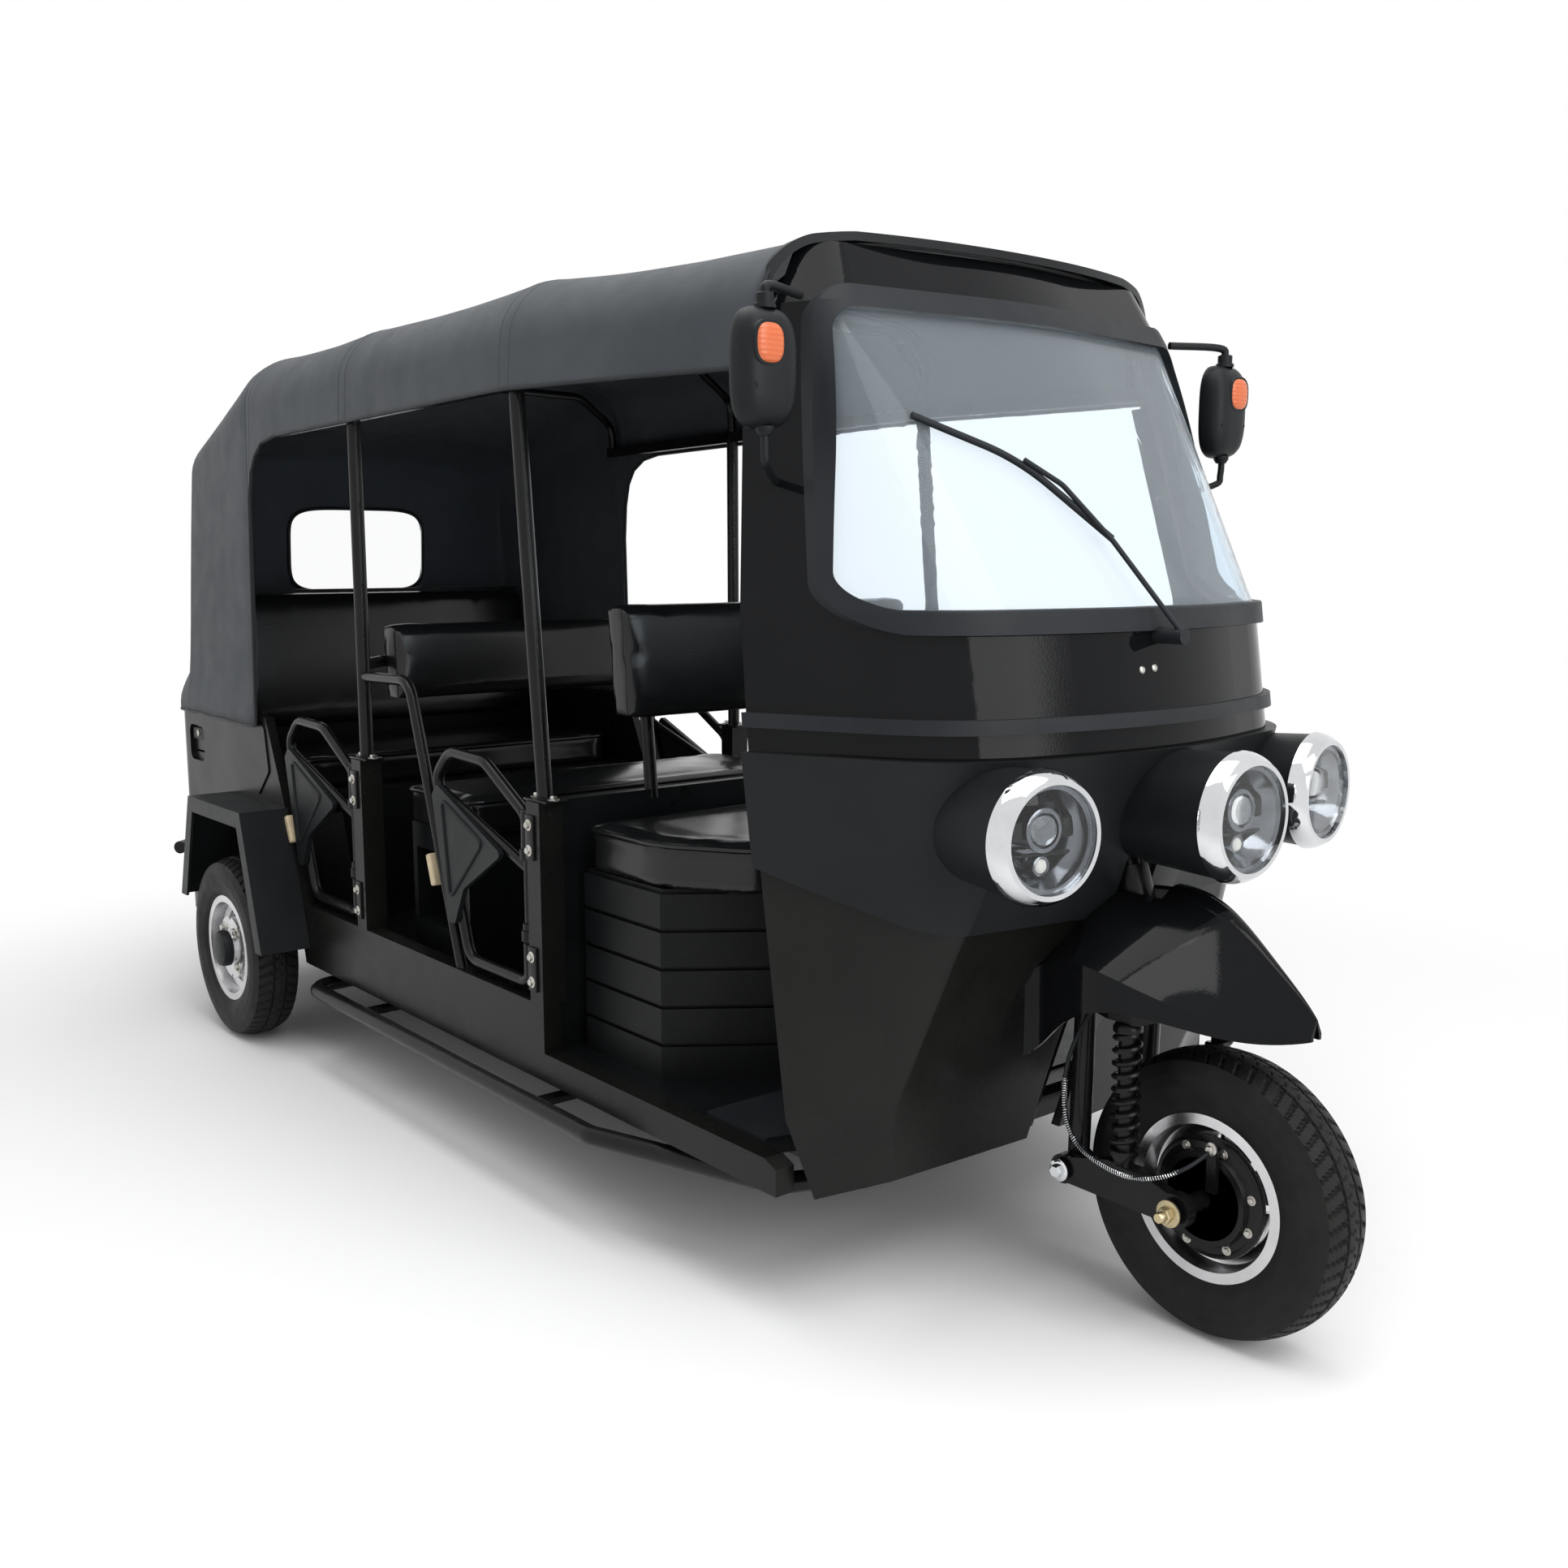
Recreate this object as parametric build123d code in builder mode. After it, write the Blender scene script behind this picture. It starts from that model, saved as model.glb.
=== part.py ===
from build123d import *
from math import cos, radians, sin, tan
import os

os.makedirs("parts", exist_ok=True)

# Chain along the tricycle, from the front tyre to the rear panel
TYRE_DIAMETER = 490
TYRE_WIDTH = 122
AXLE_TO_PILLAR = 535
DRIVER_BAY = 695
MIDDLE_BAY = 825
REAR_BAY = 555
QUARTER_TO_AXLE = 70
REAR_OVERHANG = 645
BUMPER_REACH = 43

TYRE_R = TYRE_DIAMETER / 2
LENGTH = (TYRE_R + AXLE_TO_PILLAR + DRIVER_BAY + MIDDLE_BAY + REAR_BAY
          + QUARTER_TO_AXLE + REAR_OVERHANG + BUMPER_REACH)
FRONT_AXLE_X = LENGTH / 2 - TYRE_R
PILLAR_X = FRONT_AXLE_X - AXLE_TO_PILLAR
MID_POST_X = PILLAR_X - DRIVER_BAY
REAR_POST_X = MID_POST_X - MIDDLE_BAY
QUARTER_X = REAR_POST_X - REAR_BAY
REAR_AXLE_X = QUARTER_X - QUARTER_TO_AXLE
REAR_X = REAR_AXLE_X - REAR_OVERHANG

# Body widths and heights
BODY_HALF = 590
WHEEL_OUT = 60
TRACK = 2 * (BODY_HALF + WHEEL_OUT)
WIDE = BODY_HALF + 150
SILL_DEPTH = 40
SILL_BOTTOM = 240
FLOOR_Z = 300
FLOOR_THICKNESS = 20
THRESHOLD_Z = 400
WAIST_Z = 815
QUARTER_TOP = 870
POST_WIDTH = 50
POST_DEPTH = 55
PANEL = 24
GAP = 0.4
RUN_GAP = 6

# Roof rails, shared by the cab header and the canopy
RAIL = 28
RAIL_REAR_Z = 1612
RAIL_MID_Z = 1640
RAIL_FRONT_Z = 1625
ROOF_FRONT_X = PILLAR_X - 75
HEADER_LAP = 12

# Steering
RAKE = 18
HEAD_Z = 550
HEAD_BEHIND_AXLE = 140
STEM_R = 20


def save(builder, name):
    builder.part.label = name
    export_step(builder.part, f"parts/{name}.step")


def tube(points, bend, diameter, mode=Mode.ADD, close=False):
    with BuildLine(mode=Mode.PRIVATE) as path:
        if len(points) == 2:
            Line(*points)
        else:
            FilletPolyline(*points, radius=bend, close=close)
    start = Plane(origin=path.line @ 0, z_dir=path.line % 0)
    with BuildSketch(start, mode=Mode.PRIVATE) as ring:
        Circle(diameter / 2)
    sweep(sections=ring.sketch, path=path.line, mode=mode)


def block(x0, x1, y0, y1, z0, z1, mode=Mode.ADD):
    with Locations(((x0 + x1) / 2, (y0 + y1) / 2, (z0 + z1) / 2)):
        Box(abs(x1 - x0), abs(y1 - y0), abs(z1 - z0), mode=mode)


def side_prism(points, y0, y1, bend=0, mode=Mode.ADD):
    plane = Plane(origin=(0, y0, 0), x_dir=(1, 0, 0), z_dir=(0, -1, 0))
    with BuildSketch(plane, mode=Mode.PRIVATE) as outline:
        with BuildLine():
            Polyline(*points, close=True)
        make_face()
        if bend:
            fillet(outline.vertices(), bend)
    extrude(outline.sketch, amount=y0 - y1, mode=mode)


def round_bar(start, axis, radius, length, mode=Mode.ADD):
    with BuildSketch(Plane(origin=start, z_dir=axis), mode=Mode.PRIVATE) as ring:
        Circle(radius)
    extrude(ring.sketch, amount=length, mode=mode)


# Wheels: tyre on a drop-centre rim, turned about the axle
RIM_FLANGE_R = 143
BEAD_R = 127
RIM_HALF = 50
RIM_WALL = 6
FLANGE_THICKNESS = 5
HUB_R = 42
HUB_HALF = 40
AXLE_R = 10
CAP_R = 46


def wheel_plane(x, y):
    return Plane(origin=(x, y, TYRE_R), x_dir=(0, 1, 0), z_dir=(1, 0, 0))


def make_tyre(name, x, y):
    half = TYRE_WIDTH / 2
    bead = RIM_HALF - FLANGE_THICKNESS - GAP
    with BuildPart() as tyre:
        with BuildSketch(wheel_plane(x, y)) as profile:
            with BuildLine() as side:
                foot = Line((bead - 14, BEAD_R + GAP), (bead, BEAD_R + GAP))
                Line(foot @ 1, (bead, RIM_FLANGE_R + 2))
                wall = ThreePointArc((bead, RIM_FLANGE_R + 2), (half, (RIM_FLANGE_R + TYRE_R) / 2 - 4),
                                     (half - 8, TYRE_R - 13))
                TangentArc((0, TYRE_R), wall @ 1, tangent=(1, 0))
                inner = Line((0, TYRE_R), (0, TYRE_R - 14))
                crown = ThreePointArc(inner @ 1, (half - 26, TYRE_R - 18), (half - 20, TYRE_R - 30))
                ThreePointArc(crown @ 1, (half - 11, (RIM_FLANGE_R + TYRE_R) / 2 - 6), foot @ 0)
            make_face()
            mirror(about=Plane.YZ)
        revolve(axis=Axis((x, y, TYRE_R), (0, 1, 0)))
    save(tyre, name)


def make_rim(name, x, y, outward, drum_r, cap_length):
    barrel = BEAD_R - RIM_WALL
    flange = RIM_HALF - FLANGE_THICKNESS
    with BuildPart() as rim:
        with BuildSketch(wheel_plane(x, y)):
            with BuildLine():
                Polyline((-RIM_HALF, RIM_FLANGE_R), (-flange, RIM_FLANGE_R), (-flange, BEAD_R),
                         (-18, BEAD_R), (-12, BEAD_R - 16), (12, BEAD_R - 16), (18, BEAD_R),
                         (flange, BEAD_R), (flange, RIM_FLANGE_R), (RIM_HALF, RIM_FLANGE_R),
                         (RIM_HALF, BEAD_R - 2), (18, barrel - 2), (12, barrel - 16),
                         (-12, barrel - 16), (-18, barrel - 2), (-RIM_HALF, BEAD_R - 2), close=True)
            make_face()
        revolve(axis=Axis((x, y, TYRE_R), (0, 1, 0)))
        with BuildSketch(wheel_plane(x, y)):
            with BuildLine():
                Polyline((-4, barrel - 15), (4, barrel - 15), (12, drum_r + 6), (12, HUB_R),
                         (HUB_HALF, HUB_R - 8), (HUB_HALF, AXLE_R + GAP), (-HUB_HALF, AXLE_R + GAP),
                         (-HUB_HALF, drum_r), (2, drum_r), close=True)
            make_face()
            if outward > 0:
                mirror(about=Plane.YZ, mode=Mode.REPLACE)
        revolve(axis=Axis((x, y, TYRE_R), (0, 1, 0)))
        with BuildSketch(Plane(origin=(x, y, TYRE_R), x_dir=(1, 0, 0), z_dir=(0, -1, 0))):
            with PolarLocations((HUB_R + barrel) / 2 + 8, 8):
                SlotOverall(26, 14)
        extrude(amount=RIM_HALF, both=True, mode=Mode.SUBTRACT)
        if cap_length:
            round_bar((x, y + outward * HUB_HALF, TYRE_R), (0, outward, 0), CAP_R, cap_length)
            fillet(rim.edges().filter_by(GeomType.CIRCLE).group_by(Axis.Y)[-1 if outward > 0 else 0], 6)
    save(rim, name)


REAR_HUB_CAP = 14
make_tyre("front_tyre", FRONT_AXLE_X, 0)
make_rim("front_rim", FRONT_AXLE_X, 0, 1, 76, 0)
for side, sign in (("right", -1), ("left", 1)):
    make_tyre(f"rear_{side}_tyre", REAR_AXLE_X, sign * TRACK / 2)
    make_rim(f"rear_{side}_rim", REAR_AXLE_X, sign * TRACK / 2, sign, 84, REAR_HUB_CAP)

# Steering: stem, crown, legs, leading links with spring units
LEG_Y = 92
LEG_DIAMETER = 38
BOSS_R = 25
BOSS_LENGTH = 41
LINK_Y = 124
LINK_THICKNESS = 22
PIVOT_BEHIND_AXLE = 232
SHOCK_BEHIND_AXLE = 105
SHOCK_BOTTOM_Z = 292
CROWN_BOTTOM = HEAD_Z - 10
CROWN_THICKNESS = 20
STEM_TOP_Z = 985
HEAD_TUBE = (HEAD_Z + 30, 770)
HEAD_R = 31
BRAKE_PLATE = 9
LEVER_X = 21
LEVER_Y = HUB_HALF + RUN_GAP + BRAKE_PLATE + 5
LEVER_TOP = TYRE_R + 92

PIVOT_X = FRONT_AXLE_X - PIVOT_BEHIND_AXLE
SHOCK_X = FRONT_AXLE_X - SHOCK_BEHIND_AXLE
STEER_AXIS = (-sin(radians(RAKE)), 0, cos(radians(RAKE)))


def stem_x(z):
    return FRONT_AXLE_X - HEAD_BEHIND_AXLE - (z - HEAD_Z) * tan(radians(RAKE))


def along_stem(z0, z1):
    return (z1 - z0) / cos(radians(RAKE))


with BuildPart() as fork:
    with BuildSketch(Plane.XY.offset(CROWN_BOTTOM)):
        with BuildLine():
            Polyline((PIVOT_X - 12, -LEG_Y - 8), (SHOCK_X - 34, -LINK_Y - 20), (SHOCK_X + 30, -LINK_Y - 20),
                     (SHOCK_X + 40, -60), (SHOCK_X + 40, 60), (SHOCK_X + 30, LINK_Y + 20),
                     (SHOCK_X - 34, LINK_Y + 20), (PIVOT_X - 12, LEG_Y + 8), close=True)
        make_face()
        fillet(vertices(), 14)
    extrude(amount=CROWN_THICKNESS)
    tube([(stem_x(HEAD_Z), 0, HEAD_Z), (stem_x(STEM_TOP_Z), 0, STEM_TOP_Z)], 0, 2 * STEM_R)
    for sign in (-1, 1):
        tube([(PIVOT_X + 8, sign * LEG_Y, HEAD_Z), (PIVOT_X, sign * LEG_Y, TYRE_R)], 0, LEG_DIAMETER)
        round_bar((PIVOT_X, sign * LEG_Y - BOSS_LENGTH / 2, TYRE_R), (0, 1, 0), BOSS_R, BOSS_LENGTH)
save(fork, "steering_fork")

with BuildPart() as links:
    link_in = LINK_Y - LINK_THICKNESS / 2
    for sign in (-1, 1):
        with BuildSketch(Plane(origin=(0, sign * LINK_Y, 0), x_dir=(1, 0, 0), z_dir=(0, -1, 0))):
            with Locations((PIVOT_X, TYRE_R)):
                Circle(26)
            with Locations((FRONT_AXLE_X, TYRE_R)):
                Circle(30)
            with BuildLine():
                Polyline((PIVOT_X, TYRE_R - 22), (FRONT_AXLE_X, TYRE_R - 24), (FRONT_AXLE_X, TYRE_R + 24),
                         (SHOCK_X + 28, SHOCK_BOTTOM_Z), (SHOCK_X - 28, SHOCK_BOTTOM_Z),
                         (PIVOT_X, TYRE_R + 22), close=True)
            make_face()
        extrude(amount=LINK_THICKNESS / 2, both=True)
        round_bar((PIVOT_X, sign * (link_in + LINK_THICKNESS), TYRE_R), (0, sign, 0), 13, 9)
        round_bar((FRONT_AXLE_X, sign * (link_in + LINK_THICKNESS), TYRE_R), (0, sign, 0), 15, 12)
        round_bar((FRONT_AXLE_X, sign * (HUB_HALF + RUN_GAP), TYRE_R), (0, sign, 0), 16,
                  link_in - HUB_HALF - RUN_GAP)
    round_bar((FRONT_AXLE_X, -LINK_Y, TYRE_R), (0, 1, 0), AXLE_R, 2 * LINK_Y)
    plate_out = HUB_HALF + RUN_GAP
    round_bar((FRONT_AXLE_X, -plate_out, TYRE_R), (0, -1, 0), 80, BRAKE_PLATE)
    block(FRONT_AXLE_X + LEVER_X - 9, FRONT_AXLE_X + LEVER_X + 9, -plate_out - BRAKE_PLATE,
          -plate_out - BRAKE_PLATE - 10, TYRE_R + 20, LEVER_TOP)
save(links, "front_links")

SPRING_R = 27
with BuildPart() as shocks:
    for sign in (-1, 1):
        y = sign * LINK_Y
        top = CROWN_BOTTOM - SHOCK_BOTTOM_Z
        base = (SHOCK_X, y, SHOCK_BOTTOM_Z)
        round_bar(base, (0, 0, 1), 15, top)
        round_bar((SHOCK_X, y, SHOCK_BOTTOM_Z + 18), (0, 0, 1), SPRING_R + 2, 8)
        round_bar((SHOCK_X, y, CROWN_BOTTOM - 30), (0, 0, 1), SPRING_R + 2, 12)
        with BuildSketch(Plane.XZ.offset(-y)):
            coils = 8
            pitch = (top - 62) / coils
            for turn in range(coils):
                with Locations((SHOCK_X + 19.5, SHOCK_BOTTOM_Z + 32 + pitch * (turn + 0.5))):
                    Rectangle(15, 9)
        revolve(axis=Axis((SHOCK_X, y, 0), (0, 0, 1)))
save(shocks, "front_shocks")

BAR_DIAMETER = 22
BAR_HALF = 290
BAR_BACK = 70
BAR_SWEEP = 90
GRIP_R = 17
GRIP_LENGTH = 115
BAR_Z = STEM_TOP_Z + 28
BAR_X = stem_x(STEM_TOP_Z) - BAR_BACK
with BuildPart() as handlebar:
    tube([(BAR_X - BAR_SWEEP, -BAR_HALF, BAR_Z), (BAR_X, -110, BAR_Z), (BAR_X, 110, BAR_Z),
          (BAR_X - BAR_SWEEP, BAR_HALF, BAR_Z)], 60, BAR_DIAMETER)
    for sign in (-1, 1):
        end = Vector(BAR_X - BAR_SWEEP, sign * BAR_HALF, BAR_Z)
        bend_at = Vector(BAR_X, sign * 110, BAR_Z)
        round_bar(end, (bend_at - end).normalized(), GRIP_R, GRIP_LENGTH)
    block(BAR_X - 24, stem_x(STEM_TOP_Z) + 30, -30, 30, STEM_TOP_Z + 8, BAR_Z + 14)
    round_bar((stem_x(STEM_TOP_Z), 0, STEM_TOP_Z), STEER_AXIS, STEM_R, 24)
    tube([(stem_x(STEM_TOP_Z), 0, STEM_TOP_Z), (stem_x(STEM_TOP_Z - 90), 0, STEM_TOP_Z - 90)], 0,
         2 * STEM_R + 4, mode=Mode.SUBTRACT)
    round_bar((stem_x(STEM_TOP_Z), 0, STEM_TOP_Z), STEER_AXIS, STEM_R, 24)
save(handlebar, "handlebar")

# route of the front brake cable: reach from the front axle, lateral place, height
CABLE = 9
CABLE_BEND = 40
CABLE_ROUTE = [
    (-195, -110, CROWN_BOTTOM - 1), (-216, -140, 480), (-226, -150, 380), (-200, -150, 305),
    (-110, -150, 280), (-35, -148, 290), (20, -110, 322), (LEVER_X, -LEVER_Y, LEVER_TOP + CABLE / 2),
]
with BuildPart() as brake_cable:
    tube([(FRONT_AXLE_X + reach, y, z) for reach, y, z in CABLE_ROUTE], CABLE_BEND, CABLE)
    add(links.part, mode=Mode.SUBTRACT)
    add(fork.part, mode=Mode.SUBTRACT)
save(brake_cable, "brake_cable")

# Cab: plan outlines stacked by height, each a pentagon with rounded corners
CAB_WALL = 20
NOSE_BEND = 1000
COWL_TOP = 990
# height, nose, corner, corner half width, rear edge, rear inset from the body side, corner bend
BELT_PLAN = (COWL_TOP, 430, 335, 430, 0, 0, 277)
UPPER_PLANS = [
    BELT_PLAN,
    (1215, 396, 300, 430, -25, 4, 270),
    (1712, 92, 30, 448, -120, 90, 95),
    (1815, 30, -22, 415, -142, 120, 80),
]
LOWER_PLANS = [
    (230, 145, 128, 380, 100, 60, 30),
    (380, 195, 172, 425, 88, 6, 55),
    BELT_PLAN,
]


def cab_plan(row, grow):
    z, nose, corner, corner_half, rear, rear_inset, bend = row
    rear_half = BODY_HALF - rear_inset
    rear_x = PILLAR_X + rear
    corner_x = PILLAR_X + corner + grow
    with BuildSketch(Plane.XY.offset(z), mode=Mode.PRIVATE) as plan:
        with BuildLine():
            Polyline((rear_x, -rear_half - grow), (corner_x, -corner_half - grow),
                     (PILLAR_X + nose + grow, 0), (corner_x, corner_half + grow),
                     (rear_x, rear_half + grow), close=True)
        make_face()
        fillet(plan.vertices().sort_by(Axis.X)[-1], NOSE_BEND)
        fillet(plan.vertices().sort_by(Axis.X)[2:4], bend)
    return plan.sketch


def cab_solid(rows, grow=0, mode=Mode.ADD):
    loft(sections=[cab_plan(row, grow) for row in rows], ruled=True, mode=mode)


SCREEN_BOTTOM = 1199
SCREEN_TOP = 1722
SCREEN_BOTTOM_HALF = 530
SCREEN_TOP_HALF = 452
SCREEN_BEND = 62
SEAL_SIDE = 0.42
SEAL_WIDTH = 38
SEAL_PROUD = 9
GLASS_INSET = 4
GLASS = 6


def screen_prism(inset, mode):
    low_half = SCREEN_BOTTOM_HALF - SEAL_SIDE * inset
    top_half = SCREEN_TOP_HALF - SEAL_SIDE * inset
    with BuildSketch(Plane.YZ.offset(PILLAR_X - 80), mode=Mode.PRIVATE) as opening:
        with BuildLine():
            Polyline((-low_half, SCREEN_BOTTOM + inset), (low_half, SCREEN_BOTTOM + inset),
                     (top_half, SCREEN_TOP - inset), (-top_half, SCREEN_TOP - inset), close=True)
        make_face()
        fillet(opening.vertices(), SCREEN_BEND - inset / 2)
    extrude(opening.sketch, amount=600, mode=mode)


with BuildPart() as surround:
    cab_solid(UPPER_PLANS)
    cab_solid(UPPER_PLANS, -CAB_WALL, Mode.SUBTRACT)
    screen_prism(0, Mode.SUBTRACT)
    block(PILLAR_X - 400, ROOF_FRONT_X + HEADER_LAP, -WIDE, WIDE, RAIL_FRONT_Z - RAIL, 1900, Mode.SUBTRACT)
save(surround, "windscreen_surround")

with BuildPart() as glass:
    cab_solid(UPPER_PLANS, -GLASS_INSET)
    cab_solid(UPPER_PLANS, -GLASS_INSET - GLASS, Mode.SUBTRACT)
    screen_prism(SEAL_WIDTH / 2, Mode.INTERSECT)
save(glass, "windscreen_glass")

with BuildPart() as seal:
    cab_solid(UPPER_PLANS, SEAL_PROUD)
    cab_solid(UPPER_PLANS, -CAB_WALL, Mode.SUBTRACT)
    screen_prism(-SEAL_WIDTH / 2, Mode.INTERSECT)
    screen_prism(SEAL_WIDTH / 2, Mode.SUBTRACT)
    add(surround.part, mode=Mode.SUBTRACT)
save(seal, "windscreen_seal")

BELT_Z = 1038
BELT_HEIGHT = 24
BELT_PROUD = 10
with BuildPart() as belt:
    cab_solid(UPPER_PLANS, BELT_PROUD)
    cab_solid(UPPER_PLANS, GAP, Mode.SUBTRACT)
    block(PILLAR_X - 300, PILLAR_X + 600, -WIDE, WIDE, BELT_Z - BELT_HEIGHT / 2, BELT_Z + BELT_HEIGHT / 2,
          Mode.INTERSECT)
save(belt, "belt_strip")

HEAD_SLOT_HALF = 46
with BuildPart() as apron:
    cab_solid(LOWER_PLANS)
    cab_solid(LOWER_PLANS, -CAB_WALL, Mode.SUBTRACT)
    block(PILLAR_X + 120, PILLAR_X + 460, -HEAD_SLOT_HALF, HEAD_SLOT_HALF, 225, 850, Mode.SUBTRACT)
save(apron, "front_apron")

# Lamp cowl: a band over the apron with three pods, the outer two toed out
COWL_THICKNESS = 16
BEZEL_DEPTH = 32
BEZEL_RING = 22
POD_INSET = 4
POD_LENGTH = 300
POD_TAPER = 3
LENS = 4
LENS_BEHIND = 13
BOWL_BEHIND = LENS_BEHIND + GAP
BOWL_DEPTH = 66
BOWL_CUP = 50
PROJECTOR_R = 30
PROJECTOR_RISE = 12
# lateral place, reach of the bezel face ahead of the pillar, height, bezel radius, toe-out
LAMPS = [(-376, 471, 879, 107, -8), (376, 471, 879, 107, 8), (0, 566, 882, 110, 0)]


def lamp_axis(row):
    return Vector(cos(radians(row[4])), sin(radians(row[4])), 0)


def lamp_face(row, behind):
    lamp_y, reach, z = row[:3]
    return Plane(origin=(PILLAR_X + reach, lamp_y, z), x_dir=(0, 0, 1), z_dir=lamp_axis(row)).offset(-behind)


def lamp_side(row):
    return Plane(origin=lamp_face(row, 0).origin, x_dir=lamp_axis(row),
                 z_dir=lamp_axis(row).cross(Vector(0, 0, 1)))


def lamp_turn(row):
    return Axis(lamp_face(row, 0).origin, lamp_axis(row))


def lamp_disc(row, radius, behind, length, mode=Mode.ADD, rise=0, taper=0):
    with BuildSketch(lamp_face(row, behind), mode=Mode.PRIVATE) as disc:
        with Locations((rise, 0)):
            Circle(radius)
    extrude(disc.sketch, amount=-length, taper=taper, mode=mode)


with BuildPart() as cowl:
    cab_solid(LOWER_PLANS, COWL_THICKNESS)
    block(PILLAR_X - 100, PILLAR_X + 600, -WIDE, WIDE, 640, COWL_TOP - 4, Mode.INTERSECT)
    for lamp in LAMPS:
        lamp_disc(lamp, lamp[3] - POD_INSET, BEZEL_DEPTH, POD_LENGTH, taper=POD_TAPER)
    side_prism([(PILLAR_X - 100, 600), (PILLAR_X + 600, 600), (PILLAR_X + 300, 690), (PILLAR_X - 100, 850)],
               WIDE, -WIDE, mode=Mode.SUBTRACT)
    cab_solid(LOWER_PLANS, GAP, Mode.SUBTRACT)
    for lamp in LAMPS:
        lamp_disc(lamp, lamp[3] - BEZEL_RING + 2, BEZEL_DEPTH, BOWL_BEHIND + BOWL_DEPTH + 2 - BEZEL_DEPTH,
                  Mode.SUBTRACT)
    block(PILLAR_X + 120, PILLAR_X + 385, -HEAD_SLOT_HALF, HEAD_SLOT_HALF, 470, 850, Mode.SUBTRACT)
save(cowl, "lamp_cowl")

with BuildPart() as bezels:
    for lamp in LAMPS:
        radius = lamp[3]
        with BuildSketch(lamp_side(lamp)):
            with BuildLine():
                Polyline((-BEZEL_DEPTH, radius), (-BEZEL_DEPTH, radius - BEZEL_RING),
                         (0, radius - BEZEL_RING),
                         (0, radius - BEZEL_RING + 8))
                ThreePointArc((0, radius - BEZEL_RING + 8), (-BEZEL_DEPTH / 2, radius - 4),
                              (-BEZEL_DEPTH, radius))
            make_face()
        revolve(axis=lamp_turn(lamp))
save(bezels, "lamp_bezels")

with BuildPart() as lenses:
    for lamp in LAMPS:
        radius = lamp[3] - BEZEL_RING - GAP
        with BuildSketch(lamp_side(lamp)):
            with BuildLine():
                Polyline((-LENS_BEHIND + LENS, radius), (-LENS_BEHIND, radius), (-LENS_BEHIND, 0), (-2, 0))
                ThreePointArc((-2, 0), (-4, radius / 2), (-LENS_BEHIND + LENS, radius))
            make_face()
        revolve(axis=lamp_turn(lamp))
save(lenses, "lamp_lenses")

with BuildPart() as bowls:
    for lamp in LAMPS:
        radius = lamp[3] - BEZEL_RING - GAP
        lamp_disc(lamp, radius, BOWL_BEHIND, BOWL_DEPTH)
        with BuildSketch(lamp_side(lamp)):
            with BuildLine():
                Polyline((-BOWL_BEHIND, 0), (-BOWL_BEHIND, radius - 8), (-BOWL_BEHIND - BOWL_CUP, 40),
                         (-BOWL_BEHIND - BOWL_CUP, 0), close=True)
            make_face()
        revolve(axis=lamp_turn(lamp), mode=Mode.SUBTRACT)
        lamp_disc(lamp, PROJECTOR_R, BOWL_BEHIND + 18, BOWL_CUP - 10, rise=PROJECTOR_RISE)
save(bowls, "lamp_bowls")

# Mudguard beak over the front wheel
GUARD_WALL = 6
RIDGE_HALF = 0.16
# reach from the front axle, half width, lip height, crease height, ridge height
GUARD_SECTIONS = [
    (-270, 200, 455, 600, 742),
    (-190, 200, 528, 640, 752),
    (-80, 196, 572, 627, 752),
    (10, 124, 550, 580, 716),
    (78, 70, 536, 558, 660),
    (135, 32, 540, 555, 608),
    (160, 14, 546, 556, 580),
]


def guard_solid(inset, mode=Mode.ADD):
    faces = []
    for reach, half, lip, crease, ridge in GUARD_SECTIONS:
        with BuildSketch(Plane.YZ.offset(FRONT_AXLE_X + reach), mode=Mode.PRIVATE) as section:
            with BuildLine():
                outer = half - inset
                foot = lip - 3 * inset
                crest = RIDGE_HALF * outer
                side = ridge - (ridge - crease) * 0.1 - inset
                Polyline((-crest, side), (-outer, crease - inset), (-outer, foot), (outer, foot),
                         (outer, crease - inset), (crest, side))
                ThreePointArc((-crest, side), (0, ridge - inset), (crest, side))
            make_face()
        faces.append(section.sketch)
    loft(sections=faces, mode=mode)


with BuildPart() as mudguard:
    guard_solid(0)
    guard_solid(GUARD_WALL, Mode.SUBTRACT)
    cab_solid(LOWER_PLANS, COWL_THICKNESS + GAP, Mode.SUBTRACT)
    add(cowl.part, mode=Mode.SUBTRACT)
    block(PILLAR_X + 200, PILLAR_X + 425, -HEAD_SLOT_HALF, HEAD_SLOT_HALF, 560, 800, Mode.SUBTRACT)
save(mudguard, "front_mudguard")

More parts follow.
